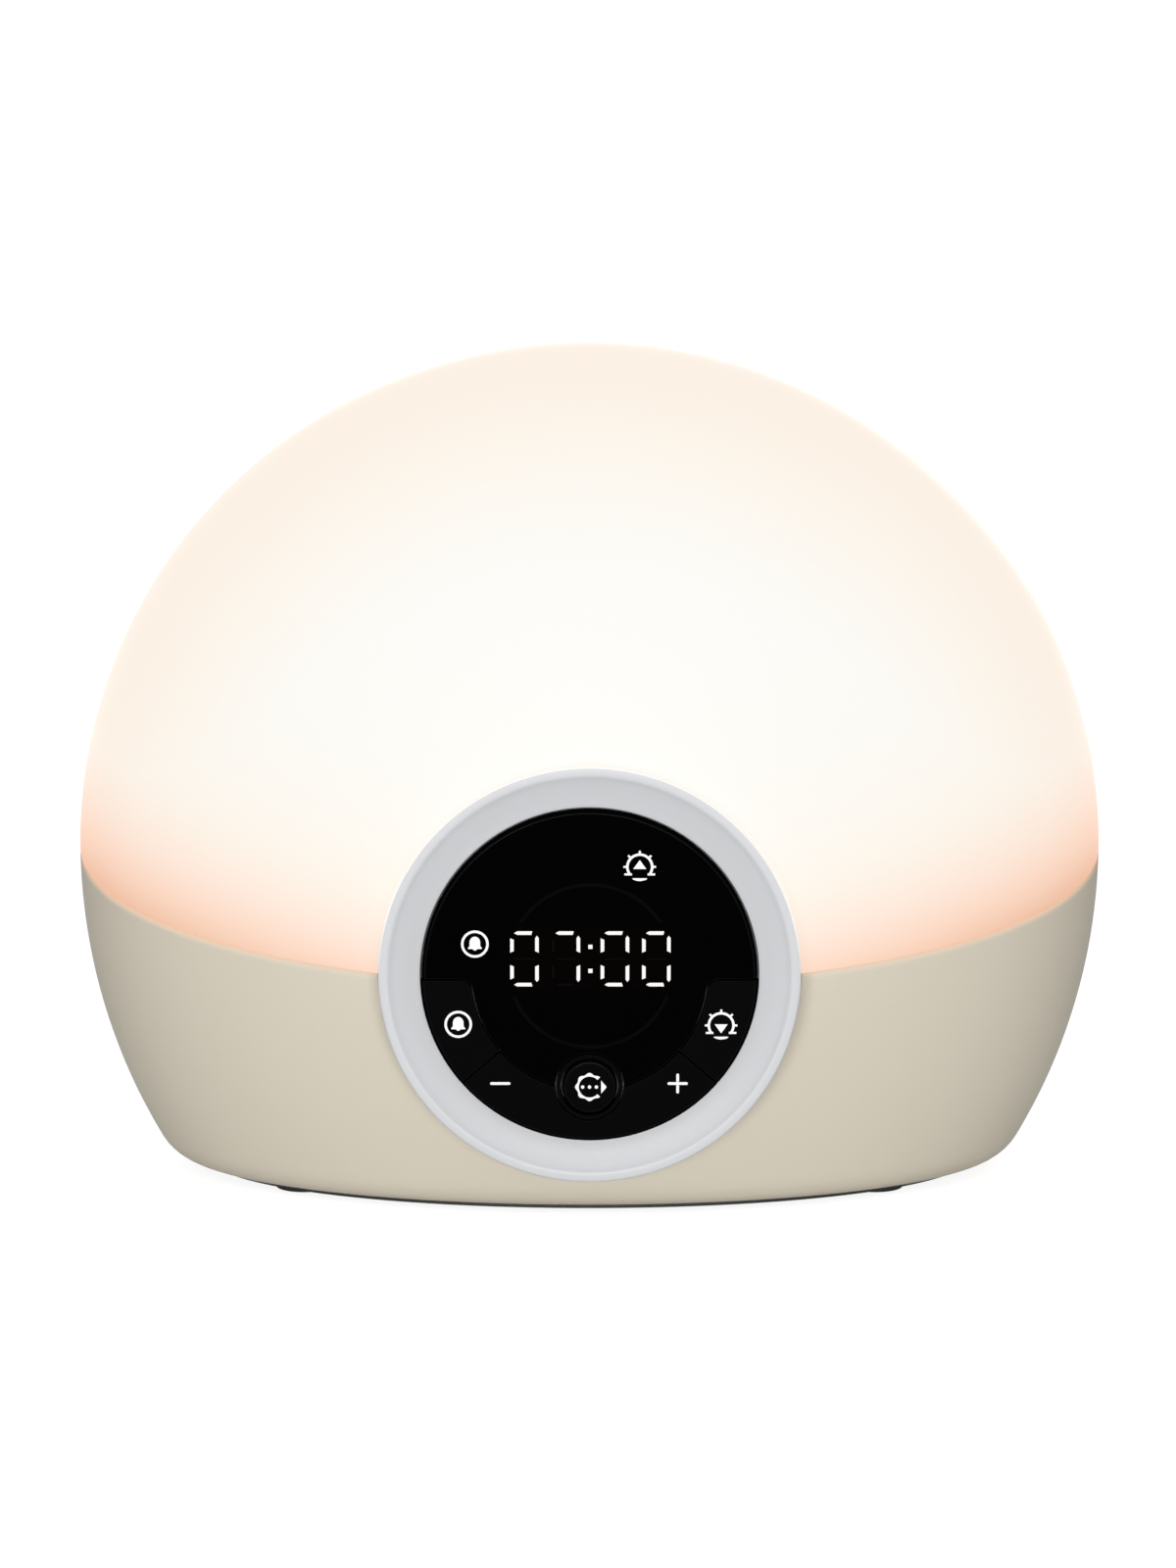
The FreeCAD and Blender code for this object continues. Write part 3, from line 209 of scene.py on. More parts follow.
def silverFinish(paintedLight):
    # painted shade: the ring's colour is toned by height, the lip a little darker at the top and the inner
    # dish much darker at the bottom where the raised panel shades it; and the lit dome's glow is painted on
    # the outer wall
    made = plainFinish("silver", looks["silver"])
    plain = made.shader.inputs["Base Color"].links[0].from_socket
    z = made.parts()[2]
    radius = made.away((0, 0, pod["height"] * mm), (1, 0, 1))
    low, high = (pod["height"] - paintedLight["reach"]) * mm, (pod["height"] + paintedLight["reach"]) * mm
    lip = made.fade(z, low, high, paintedLight["lipLow"], paintedLight["lipTop"], "LINEAR")
    dish = made.fade(z, low, high, paintedLight["dishLow"], paintedLight["dishTop"], "LINEAR")
    outside = made.fade(radius, paintedLight["blendStart"] * mm, paintedLight["blendEnd"] * mm)
    # painted shade by height, blended from the inner dish out to the lip
    paintedShade = made.math("MULTIPLY_ADD", made.math("SUBTRACT", lip, dish), outside, dish)
    made.set("Base Color", made.mix(1.0, plain, paintedShade, "MULTIPLY"))
    wall = made.fade(radius, paintedLight["wallStart"] * mm, paintedLight["wallEnd"] * mm)
    near = made.fade(seamRiseOf(made)[1], paintedLight["glowLow"], paintedLight["glowHigh"])
    made.shine(paintedLight["wallColour"], made.product(wall, near, paintedLight["wallGlow"]))
    return made.material


def seamRiseOf(made):
    # place across, and height over the slanted seam in millimetres, from Object coordinates
    x, y, z = made.parts()
    level = made.math("MULTIPLY_ADD", made.math("SUBTRACT", y, body["centreY"] * mm),
                      math.tan(body["seamSlope"]), body["seamHeight"] * mm)
    return x, made.product(made.math("SUBTRACT", z, level), math.cos(body["seamSlope"]) / mm)


glow = {
    "body": linear(96, 94, 90), "studio": 1.12, "rough": 0.5, "limbStart": 0.58, "limbShare": 0.25,
    "nearFade": 13.0, "farFade": 17.0, "middle": 0.32, "edge": 1.08, "edgeAcross": 100.0,
    "stops": [(0.0, linear(252, 251, 247)), (0.19, linear(254, 246, 235)), (0.35, linear(255, 237, 223)),
              (0.63, linear(254, 220, 199)), (1.0, linear(242, 196, 168))],
}


def opalFinish():
    made = Finish("opalDiffuser")
    x, rise = seamRiseOf(made)
    side = made.math("DIVIDE", made.math("ABSOLUTE", x), glow["edgeAcross"] * mm, clamp=True)
    atSeam = made.fade(side, 0.0, 1.0, glow["middle"], glow["edge"], "LINEAR")
    reach = made.fade(side, 0.0, 1.0, -1 / glow["nearFade"], -1 / glow["farFade"], "LINEAR")
    dim = made.product(made.math("EXPONENT", made.product(rise, reach)), atSeam)
    wide = made.math("DIVIDE", x, body["halfWidth"] * mm)
    upright = made.math("SUBTRACT", made.parts()[2], body["widest"] * mm)
    tall = made.math("DIVIDE", upright, body["upper"] * mm)
    away = made.math("SQRT", made.math("ADD", made.product(wide, wide), made.product(tall, tall)))
    limb = made.fade(away, glow["limbStart"], 1.0, 0.0, glow["limbShare"])
    wander = made.product(made.math("SUBTRACT", made.noise(45, 2), 0.5), 0.03)
    total = made.math("ADD", made.math("MAXIMUM", dim, limb), wander, clamp=True)
    # the glow is what the wished colour still needs beside the studio light on the shell
    stops = [(spot, (*[max(0.0, wished - own * glow["studio"])
                       for wished, own in zip(colour[:3], glow["body"])], 1.0))
             for spot, colour in glow["stops"]]
    made.shine(made.ramp(total, stops), 1.0)
    made.set("Base Color", made.mix(made.noise(30, 2), shade(glow["body"], 0.98), shade(glow["body"], 1.02)))
    grain = made.noise(0.45, 2)
    made.roughen(grain, glow["rough"] - 0.04, glow["rough"] + 0.05)
    made.set("Specular IOR Level", 0.12)
    made.bump(grain, 0.006, 0.3)
    return made.material


putty = {
    "colour": linear(214, 206, 189), "rough": 0.5, "grain": 0.55, "gloss": 0.08,
    "spill": linear(255, 150, 70), "spillReach": 1.5, "spillStrength": 0.2, "spillFrom": 42, "spillTo": 100,
    "shadowLineStart": 41.8, "shadowLineEnd": 42.15, "shadowLineColour": linear(84, 70, 56), "shadowLineFront": -20, "shadowLineBack": -10,
}


def puttyFinish():
    # a dark hairline of painted shadow runs round the ring at the front where it meets the housing, and the
    # lit dome spills over the seam at the sides
    made = Finish("puttyPaint")
    paint = made.mix(made.noise(40, 3), shade(putty["colour"], 0.985), shade(putty["colour"], 1.015))
    radius = made.away((0, 0, pod["height"] * mm), (1, 0, 1))
    # painted shadow line round the ring, only on the front
    line = made.fade(radius, putty["shadowLineStart"] * mm, putty["shadowLineEnd"] * mm, 1.0, 0.0)
    front = made.fade(made.parts()[1], putty["shadowLineFront"] * mm, putty["shadowLineBack"] * mm, 1.0, 0.0)
    made.set("Base Color", made.mix(made.product(line, front), paint, putty["shadowLineColour"]))
    grain = made.noise(putty["grain"], 3)
    made.roughen(grain, putty["rough"] - 0.05, putty["rough"] + 0.07)
    made.set("Specular IOR Level", putty["gloss"])
    made.bump(grain, 0.012, 0.45)
    x, rise = seamRiseOf(made)
    near = made.fade(rise, -putty["spillReach"], 0.0)
    side = made.fade(made.math("ABSOLUTE", x), putty["spillFrom"] * mm, putty["spillTo"] * mm, 0.0, 1.0,
                     "LINEAR")
    made.shine(putty["spill"], made.product(near, side, putty["spillStrength"]))
    return made.material


lensLook = {
    "colour": linear(0.5, 0.5, 0.6), "line": linear(8, 8, 9), "rough": 0.06, "gloss": 0.01,
    "circleAcross": 0.2, "circleRise": 1.96, "circleRadius": 16.2, "circleWidth": 0.45,
    "hideLow": -4.1, "hideHigh": 10.6, "halo": linear(60, 16, 8), "haloStrength": 0.02, "haloRise": 3.36,
    "haloHigh": (4.5, 8), "haloWide": (13, 19),
}


def lensFinish():
    # a faint circle shows above and below the digits, and the digits cast a faint glow round them
    made = Finish("blackGloss")
    centre = (lensLook["circleAcross"] * mm, 0, (pod["height"] + lensLook["circleRise"]) * mm)
    radius = made.away(centre, (1, 0, 1))
    off = made.math("ABSOLUTE", made.math("SUBTRACT", radius, lensLook["circleRadius"] * mm))
    width = lensLook["circleWidth"] * mm
    line = made.fade(off, width * 0.4, width, 1.0, 0.0)
    x, y, z = made.parts()
    rise = made.math("SUBTRACT", z, pod["height"] * mm)
    above = made.math("GREATER_THAN", rise, lensLook["hideHigh"] * mm)
    below = made.math("LESS_THAN", rise, lensLook["hideLow"] * mm)
    wander = made.fade(made.noise(7, 2), 0.3, 0.7, 0.75, 1.0)
    shown = made.product(line, made.math("MAXIMUM", above, below), wander)
    made.set("Base Color", made.mix(shown, lensLook["colour"], lensLook["line"]))
    made.roughen(made.noise(5, 3), lensLook["rough"] - 0.02, lensLook["rough"] + 0.03)
    made.set("Specular IOR Level", lensLook["gloss"])
    offMiddle = made.math("ABSOLUTE", made.math("SUBTRACT", rise, lensLook["haloRise"] * mm))
    high = made.fade(offMiddle, *[edge * mm for edge in lensLook["haloHigh"]], 1, 0)
    wide = made.fade(made.math("ABSOLUTE", x), *[edge * mm for edge in lensLook["haloWide"]], 1, 0)
    made.shine(lensLook["halo"], made.product(high, wide, lensLook["haloStrength"]))
    return made.material


def litFinish(name, colour, strength, dark):
    # bars and lamps that shine, a little uneven in brightness
    made = Finish(name)
    patch = made.noise(0.8, 1)
    made.shine(made.mix(patch, shade(colour, 0.94), shade(colour, 1.03)), strength)
    made.set("Base Color", made.mix(patch, shade(colour, dark), shade(colour, dark * 1.2)))
    made.set("Roughness", 0.4)
    made.set("Specular IOR Level", 0.01)
    return made.material


finishes.update(silver=silverFinish(silverPaintedLight), opalDiffuser=opalFinish(), puttyPaint=puttyFinish(),
                blackGloss=lensFinish())
# the unlit bars get a faint painted glow, so they show a little through the lens
litLooks = {
    "litBars": (linear(255, 253, 249), 1.0, 0.02), "unlitBars": (linear(50, 40, 36), 0.04, 0.005),
    "whitePrint": (linear(252, 252, 252), 0.4, 0.56), "lampPhosphor": (linear(250, 236, 170), 0.3, 0.7),
    "lampAmber": (linear(246, 160, 60), 0.3, 0.7),
}
finishes.update({name: litFinish(name, *look) for name, look in litLooks.items()})


def boardFinish():
    # green lacquer with fine copper tracks showing through
    made = Finish("greenBoard")
    tracks = made.add("ShaderNodeTexBrick", {
        "Vector": made.place, "Scale": 90, "Mortar Size": 0.02, "Color1": linear(24, 88, 52),
        "Color2": linear(20, 78, 46), "Mortar": linear(58, 120, 66),
    }, "Color")
    made.set("Base Color", tracks)
    made.set("Roughness", 0.35)
    made.bump(made.noise(1.2, 2), 0.01, 0.4)
    return made.material


def jackFinish():
    # black moulded case with a bright contact pin in its middle, 20 mm up
    made = Finish("jackCase")
    pin = made.fade(made.away((0, 0, 20 * mm), (1, 0, 1)), 1.1 * mm, 1.2 * mm, 1, 0, "LINEAR")
    made.set("Base Color", made.mix(pin, linear(34, 34, 36), linear(196, 190, 170)))
    made.set("Metallic", pin)
    made.set("Roughness", made.fade(pin, 0, 1, 0.5, 0.25, "LINEAR"))
    made.bump(made.noise(0.5, 2), 0.015, 0.5)
    return made.material


def sleeveFinish():
    # red sleeves, a little uneven in colour
    made = Finish("wireSleeve")
    wave = made.add("ShaderNodeTexNoise", {"Vector": made.place, "Scale": 900}, "Fac")
    made.set("Base Color", made.mix(wave, linear(176, 34, 30), linear(150, 26, 24)))
    made.set("Roughness", 0.45)
    made.bump(wave, 0.01, 0.4)
    return made.material


finishes.update(greenBoard=boardFinish(), jackCase=jackFinish(), wireSleeve=sleeveFinish())
print("finishes made:", len(finishes))


def makeObject(name, points, faces, *names):
    mesh = bpy.data.meshes.new(name)
    mesh.from_pydata([Vector(point) * mm for point in points], [], faces)
    for finish in names:
        mesh.materials.append(finishes[finish])
    item = bpy.data.objects.new(name, mesh)
    scene.collection.objects.link(item)
    return item


def edit(item):
    work = bmesh.new()
    work.from_mesh(item.data)
    return work


def settle(work, item, angle=32):
    # smooth faces, with sharp edges where they turn by more than the angle
    for face in work.faces:
        face.smooth = True
    limit = math.radians(angle)
    for edge in work.edges:
        edge.smooth = not (len(edge.link_faces) == 2 and edge.calc_face_angle(0) > limit)
    work.to_mesh(item.data)
    work.free()
    return item


def faceOut(item, angle=32):
    work = edit(item)
    bmesh.ops.remove_doubles(work, verts=work.verts, dist=1e-7)
    bmesh.ops.recalc_face_normals(work, faces=work.faces)
    return settle(work, item, angle)


def islandsOf(work):
    # the vertices of each separate solid, in the mesh's own order
    seen, found = set(), []
    for start in work.verts:
        if start in seen:
            continue
        seen.add(start)
        island = [start]
        for vertex in island:
            for edge in vertex.link_edges:
                other = edge.other_vert(vertex)
                if other not in seen:
                    seen.add(other)
                    island.append(other)
        found.append(island)
    return found


def bake(item):
    graph = bpy.context.evaluated_depsgraph_get()
    mesh = bpy.data.meshes.new_from_object(item.evaluated_get(graph))
    item.modifiers.clear()
    item.data = mesh
    return item


def carve(item, tool, kind="DIFFERENCE", angle=32):
    step = item.modifiers.new("carve", "BOOLEAN")
    step.operation = kind
    step.object = tool
    step.solver = "EXACT"
    bake(item)
    bpy.data.objects.remove(tool)
    return settle(edit(item), item, angle)


def loft(rings, ends):
    # faces between rings of equal count; the ends close to a point each, or the last ring meets the first
    points = [point for ring in rings for point in ring]
    count, rows = len(rings[0]), len(rings)
    faces = []
    for row in range(rows if ends == "loop" else rows - 1):
        after = (row + 1) % rows
        for turn in range(count):
            beside = (turn + 1) % count
            faces.append((row * count + turn, row * count + beside, after * count + beside,
                          after * count + turn))
    if ends == "points":
        for row in (0, rows - 1):
            middle = sum((Vector(point) for point in rings[row]), Vector()) / count
            points.append(middle)
            for turn in range(count):
                faces.append((row * count + turn, row * count + (turn + 1) % count, len(points) - 1))
    return points, faces


def circleTurns(count):
    return [math.tau * turn / count for turn in range(count)]


def onCircle(centre, radius, turn):
    return (centre[0] + radius * math.cos(turn), centre[1] + radius * math.sin(turn))


def bend(first, corner, last, share):
    return first.lerp(corner, share).lerp(corner.lerp(last, share), share)


def roundOff(outline, steps=4):
    # an outline of (across, along, radius) corners becomes plain points with its corners rounded
    made = []
    for before, corner, after in zip(outline[-1:] + outline[:-1], outline, outline[1:] + outline[:1]):
        here = Vector(corner[:2])
        if corner[2] <= 0:
            made.append(here)
            continue
        first = here + (Vector(before[:2]) - here).normalized() * corner[2]
        last = here + (Vector(after[:2]) - here).normalized() * corner[2]
        for step in range(steps + 1):
            made.append(bend(first, here, last, step / steps))
    return made


def bodyPoint(turn, rise, inset=0.0):
    # a point of the body's surface, moved inwards by the inset
    reach = (body["upper"] if rise > 0 else body["lower"]) - inset
    across = (body["halfWidth"] - inset) * math.cos(rise)
    along = (body["halfDepth"] - inset) * math.cos(rise)
    return Vector((across * math.cos(turn), body["centreY"] + along * math.sin(turn),
                   body["widest"] + reach * math.sin(rise)))


def seamLevel(side, y=body["centreY"]):
    # the height of the seam plane, or of the edge beside it, at a depth
    slope = math.tan(body["seamSlope"])
    return (body["seamHeight"] + side * body["seamGap"] / 2 / math.cos(body["seamSlope"])
            + slope * (y - body["centreY"]))


def seamRise(turn, inset, side):
    low, high = -0.6, 0.6
    for attempt in range(36):
        middle = (low + high) / 2
        point = bodyPoint(turn, middle, inset)
        if point.z < seamLevel(side, point.y):
            low = middle
        else:
            high = middle
    return (low + high) / 2


def rim(turn, side, radius, steps=5):
    # the rounded outer edge at the seam, from the surface to the seam plane, and the rise where it starts
    rise = seamRise(turn, 0, side)
    corner = bodyPoint(turn, rise)
    speed = (bodyPoint(turn, rise + 0.01) - corner).length / 0.01
    start = rise + side * radius / speed
    first = bodyPoint(turn, start)
    last = corner + (Vector((0, body["centreY"], seamLevel(side))) - corner).normalized() * radius
    return start, [bend(first, corner, last, step / steps) for step in range(1, steps + 1)]


def surfaceDepth(across, height):
    # how far behind the pod's front plane the body's front surface lies
    reach = body["upper"] if height > body["widest"] else body["lower"]
    square = 1 - ((height - body["widest"]) / reach) ** 2 - (across / body["halfWidth"]) ** 2
    return body["centreY"] - body["halfDepth"] * math.sqrt(square) - pod["front"]


def podPoint(radius, angle, depth):
    return Vector((radius * math.cos(angle), pod["front"] + depth, pod["height"] + radius * math.sin(angle)))


def podLathe(profile, count, height=0.0):
    turns = circleTurns(count)
    return [[podPoint(radius, turn, depth) + Vector((0, 0, height)) for turn in turns]
            for radius, depth in profile]


def neckTool():
    points, faces = loft(podLathe([(pod["hole"], pod["holeStart"]), (pod["hole"], pod["holeEnd"])], 128),
                         "points")
    return faceOut(makeObject("neckTool", points, faces))


def wallRings(turns, inset, starts, end, rows):
    # rings of the wall from a start of its own at each turn to one common end
    return [[bodyPoint(turn, start * (1 - share) + end * share, inset) for turn, start in zip(turns, starts)]
            for share in [row / rows for row in range(rows + 1)]]


# Diffuser dome: a shell down to the seam, with the pod's hole through it.
dome = {"wall": 2.4, "edge": 0.35, "rows": 84, "innerRows": 36}


def makeDome():
    turns = circleTurns(body["turns"])
    edges = [rim(turn, 1, dome["edge"]) for turn in turns]
    top = math.pi / 2
    rings = wallRings(turns, 0, [edge[0] for edge in edges], top, dome["rows"])[-2::-1]
    rings += [[edge[1][step] for edge in edges] for step in range(len(edges[0][1]))]
    inner = [seamRise(turn, dome["wall"], 1) for turn in turns]
    rings += wallRings(turns, dome["wall"], inner, top, dome["innerRows"])[:-1]
    points, faces = loft(rings, "points")
    shell = faceOut(makeObject("dome_shell", points, faces, "opalDiffuser"))
    return carve(shell, neckTool())


domeShell = makeDome()
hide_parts("diffuser_dome")
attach(domeShell, "clock")
print("dome made:", len(domeShell.data.polygons), "faces")

# Lower housing: a shell up to the seam, with its floor, columns and inlet recess.
housing = {
    "wall": 2.5, "edge": 0.95, "rows": 56, "innerRows": 30, "bottom": 1.6, "rounding": 10.0,
    "floorTop": 5.6, "innerRounding": 3.5, "seat": (79.16, 45.36), "seatTop": 3.0, "hatch": (52.0, 28.0),
    "columnRadius": 5.0, "columnAcross": 64.0, "columnAlong": 14.0, "underTray": 3.0,
    "inletHeight": 20.0, "inletRadius": 6.0, "inletFloor": 46.65, "cupRadius": 9.5, "noseRadius": 4.05,
    "overlap": 0.5, "cupFloor": 2.5, "cupPlay": 1.2, "recessFrom": 100, "recessTo": 126, "footSteps": 8,
}


def foot(inset, bottom, rounding):
    # where the rounding at the bottom starts on the wall, and its own curve as (across, height) pairs
    wide, reach = body["halfWidth"] - inset, body["lower"] - inset
    low, high = -1.2, 0.0
    for attempt in range(40):
        rise = (low + high) / 2
        normal = Vector((math.cos(rise) / wide, math.sin(rise) / reach)).normalized()
        centre = Vector((wide * math.cos(rise), body["widest"] + reach * math.sin(rise))) - normal * rounding
        if centre.y < bottom + rounding:
            low = rise
        else:
            high = rise
    start = math.atan2(normal.y, normal.x)
    curve = []
    for step in range(1, housing["footSteps"] + 1):
        angle = start + (-math.pi / 2 - start) * step / housing["footSteps"]
        curve.append(onCircle(centre, rounding, angle))
    return rise, curve


def ellipseRing(turns, across, along, height):
    return [Vector((across * math.cos(turn), body["centreY"] + along * math.sin(turn), height))
            for turn in turns]


def makeHousing():
    turns = circleTurns(body["turns"])
    edges = [rim(turn, -1, housing["edge"]) for turn in turns]
    rings = [[edge[1][step] for edge in edges] for step in reversed(range(len(edges[0][1])))]
    rise, curve = foot(0, housing["bottom"], housing["rounding"])
    rings += wallRings(turns, 0, [edge[0] for edge in edges], rise, housing["rows"])
    ratio = body["halfDepth"] / body["halfWidth"]
    rings += [ellipseRing(turns, across, across * ratio, height) for across, height in curve]
    for size, height in (("seat", "bottom"), ("seat", "seatTop"), ("hatch", "seatTop"),
                         ("hatch", "floorTop")):
        rings.append(ellipseRing(turns, *housing[size], housing[height]))
    inset = housing["wall"]
    rise, curve = foot(inset, housing["floorTop"], housing["innerRounding"])
    ratio = (body["halfDepth"] - inset) / (body["halfWidth"] - inset)
    rings += [ellipseRing(turns, across, across * ratio, height) for across, height in reversed(curve)]
    ends = [seamRise(turn, inset, -1) for turn in turns]
    rings += list(reversed(wallRings(turns, inset, ends, rise, housing["innerRows"])))
    points, faces = loft(rings, "loop")
    shell = faceOut(makeObject("housing_shell", points, faces, "puttyPaint"))
    bars = []
    for side in (-1, 1):
        for end in (-1, 1):
            middle = (side * housing["columnAcross"], body["centreY"] + end * housing["columnAlong"])
            spots = [onCircle(middle, housing["columnRadius"], turn) for turn in circleTurns(32)]
            bars.append([
                [Vector((x, y, housing["floorTop"] - housing["overlap"])) for x, y in spots],
                [Vector((x, y, seamLevel(-1, y) - housing["underTray"])) for x, y in spots],
            ])
    spots = [onCircle((0, housing["inletHeight"]), housing["cupRadius"], turn) for turn in circleTurns(48)]
    back = 2 * body["centreY"] - pod["front"] - housing["cupPlay"]
    bars.append([
        [Vector((x, housing["inletFloor"] - housing["cupFloor"], z)) for x, z in spots],
        [Vector((x, back - surfaceDepth(x, z), z)) for x, z in spots],
    ])
    points, faces = [], []
    for rows in bars:
        more, sides = loft(rows, "points")
        faces += [tuple(index + len(points) for index in face) for face in sides]
        points += more
    carve(shell, faceOut(makeObject("columnTool", points, faces)), "UNION")
    inletFloor = housing["inletFloor"] - pod["front"]
    recess = [(housing["noseRadius"], housing["recessFrom"]), (housing["noseRadius"], inletFloor),
              (housing["inletRadius"], inletFloor), (housing["inletRadius"], housing["recessTo"])]
    points, faces = loft(podLathe(recess, 64, housing["inletHeight"] - pod["height"]), "points")
    carve(shell, faceOut(makeObject("recessTool", points, faces)))
    return carve(shell, neckTool())


housingShell = makeHousing()
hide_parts("lower_housing")
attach(housingShell, "clock")
print("housing made:", len(housingShell.data.polygons), "faces")

# Ring round the panel, with its lip and dish.
ring = {
    "radius": 41.5, "edge": 0.55, "neck": 38.5, "bore": 34.4, "boreDepth": 3.6, "neckDepth": 16.0,
    "play": 0.2, "count": 256,
    # radius, depth and softness of the corners from the display's edge out to the lip
    "dish": [(33.3, 3.6, 0), (33.3, 1.75, 0.12), (34.8, 1.62, 0.7), (36.4, 1.3, 0.7), (37.9, 0.85, 0.7),
             (38.95, 0.42, 0.4), (39.65, 0, 0.35)],
}


def makeRing():
    front = roundOff(ring["dish"] + [(ring["radius"], 0, ring["edge"]), (ring["radius"], 3, 0)])
    turns = circleTurns(ring["count"])
    rings = podLathe(front, ring["count"])
    for radius in (ring["radius"], ring["neck"]):
        rings.append([
            podPoint(radius, turn, surfaceDepth(radius * math.cos(turn),
                                                pod["height"] + radius * math.sin(turn)) - ring["play"])
            for turn in turns
        ])
    rings += podLathe([(ring["neck"], ring["neckDepth"]), (ring["bore"], ring["neckDepth"]),
                       (ring["bore"], ring["boreDepth"])], ring["count"])
    points, faces = loft(rings, "loop")
    return faceOut(makeObject("silver_ring", points, faces, "silver"), 40)


silverRing = makeRing()
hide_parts("bezel_ring")
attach(silverRing, "clock")
print("ring made:", len(silverRing.data.polygons), "faces")

# Panel: lens, keys and collar take the CAD outlines, with their front edges softened and the bevels given a
# painted highlight.
panel = {
    "edge": 0.14, "edgeDepth": 1.6, "wallStart": 0.5, "digitsAcross": 17.0, "digitsLow": -3.0,
    "digitsHigh": 9.6, "flat": 0.6, "sharp": 9,
}
panelPieces = [
    ("lens_plate", "display_lens", "clock", "blackGloss", "black_gloss"),
    ("left_key", "alarm_key", "alarm_key", "blackKey", "black_key"),
    ("right_key", "light_key", "light_key", "blackKey", "black_key"),
    ("lower_key", "minus_plus_rocker", "minus_plus_rocker", "blackKey", "black_key"),
    ("round_key", "mode_key", "mode_key", "blackKey", "black_key"),
    ("key_collar", "mode_collar", "clock", "blackKey", "black_key"),
]


def isPanelEdge(edge):
    if len(edge.link_faces) != 2 or edge.calc_face_angle(0) < math.radians(30):
        return False
    for vertex in edge.verts:
        x, y, z = vertex.co / mm
        if y > pod["front"] + panel["edgeDepth"]:
            return False
        rise = z - pod["height"]
        if abs(x) < panel["digitsAcross"] and panel["digitsLow"] < rise < panel["digitsHigh"]:
            return False
    return True


def copyOf(name, node, finish, *more):
    item = bpy.data.objects.new(name, nodes[node].data.copy())
    scene.collection.objects.link(item)
    item.data.materials.clear()
    for one in (finish, *more):
        item.data.materials.append(finishes[one])
    carried = item.data.attributes.get("custom_normal")
    if carried:
        item.data.attributes.remove(carried)  # they would bend the light on the flat fronts
    work = edit(item)
    for layer in list(work.loops.layers.uv):
        work.loops.layers.uv.remove(layer)
    for face in work.faces:
        face.material_index = 0
    bmesh.ops.remove_doubles(work, verts=work.verts, dist=2e-7)
    return item, work


for name, node, bodyName, finish, slotName in panelPieces:
    item, work = copyOf(name, node, finish, "polishedEdge", "dullWall")
    bmesh.ops.dissolve_limit(work, angle_limit=math.radians(panel["flat"]), verts=work.verts,
                             edges=work.edges)
    edges = [edge for edge in work.edges if isPanelEdge(edge)]
    # the bevel faces take the painted edge highlight
    bmesh.ops.bevel(work, geom=edges, offset=panel["edge"] * mm, segments=2, profile=0.5,
                    affect="EDGES", clamp_overlap=True, material=1)
    bmesh.ops.recalc_face_normals(work, faces=work.faces)
    for face in work.faces:
        if face.calc_center_median().y / mm > pod["front"] + panel["wallStart"]:
            face.material_index = 2
    settle(work, item, panel["sharp"])
    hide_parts(node)
    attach(item, bodyName)
print("panel made")

# Time display: the bars that make up 07:00 are lit, the others stay dark.
digits = {
    "centres": (-12.76, -4.64, 4.98, 13.1), "middle": 3.36, "shown": "0700", "play": (0.1, 0.15),
    "dotAcross": 3.4, "columnAcross": 1.2, "middleRise": 2,
}
litBars = {
    "0": ("top", "bottom", "upperLeft", "lowerLeft", "upperRight", "lowerRight"),
    "7": ("top", "upperRight", "lowerRight"),
}


def barName(across, rise):
    if abs(across) < digits["columnAcross"]:
        return "middle" if abs(rise) < digits["middleRise"] else "top" if rise > 0 else "bottom"
    return ("upper" if rise > 0 else "lower") + ("Left" if across < 0 else "Right")


def makeBars():
    item, work = copyOf("time_bars", "digit_windows", "litBars", "unlitBars")
    for island in islandsOf(work):
        middle = sum((vertex.co for vertex in island), Vector()) / len(island) / mm
        nearest = min(range(4), key=lambda index: abs(digits["centres"][index] - middle.x))
        across = middle.x - digits["centres"][nearest]
        rise = middle.z - pod["height"] - digits["middle"]
        isDot = abs(across) > digits["dotAcross"]
        if not isDot and barName(across, rise) not in litBars[digits["shown"][nearest]]:
            for face in {face for vertex in island for face in vertex.link_faces}:
                face.material_index = 1
        # the lit bars look wider than they are, so each is drawn in a little about its middle
        for axis, play in zip((0, 2), digits["play"]):
            low, high = [pick(vertex.co[axis] for vertex in island) for pick in (min, max)]
            for vertex in island:
                share = 2 * (vertex.co[axis] - low) / (high - low) - 1
                vertex.co[axis] -= share * play * mm
    return settle(work, item)


timeBars = makeBars()
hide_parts("digit_windows")
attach(timeBars, "clock")

# Printed signs: strokes and filled shapes, in millimetres from the panel's middle.
printing = {"thickness": 0.02, "panel": 0.3, "roundKey": 0.2}


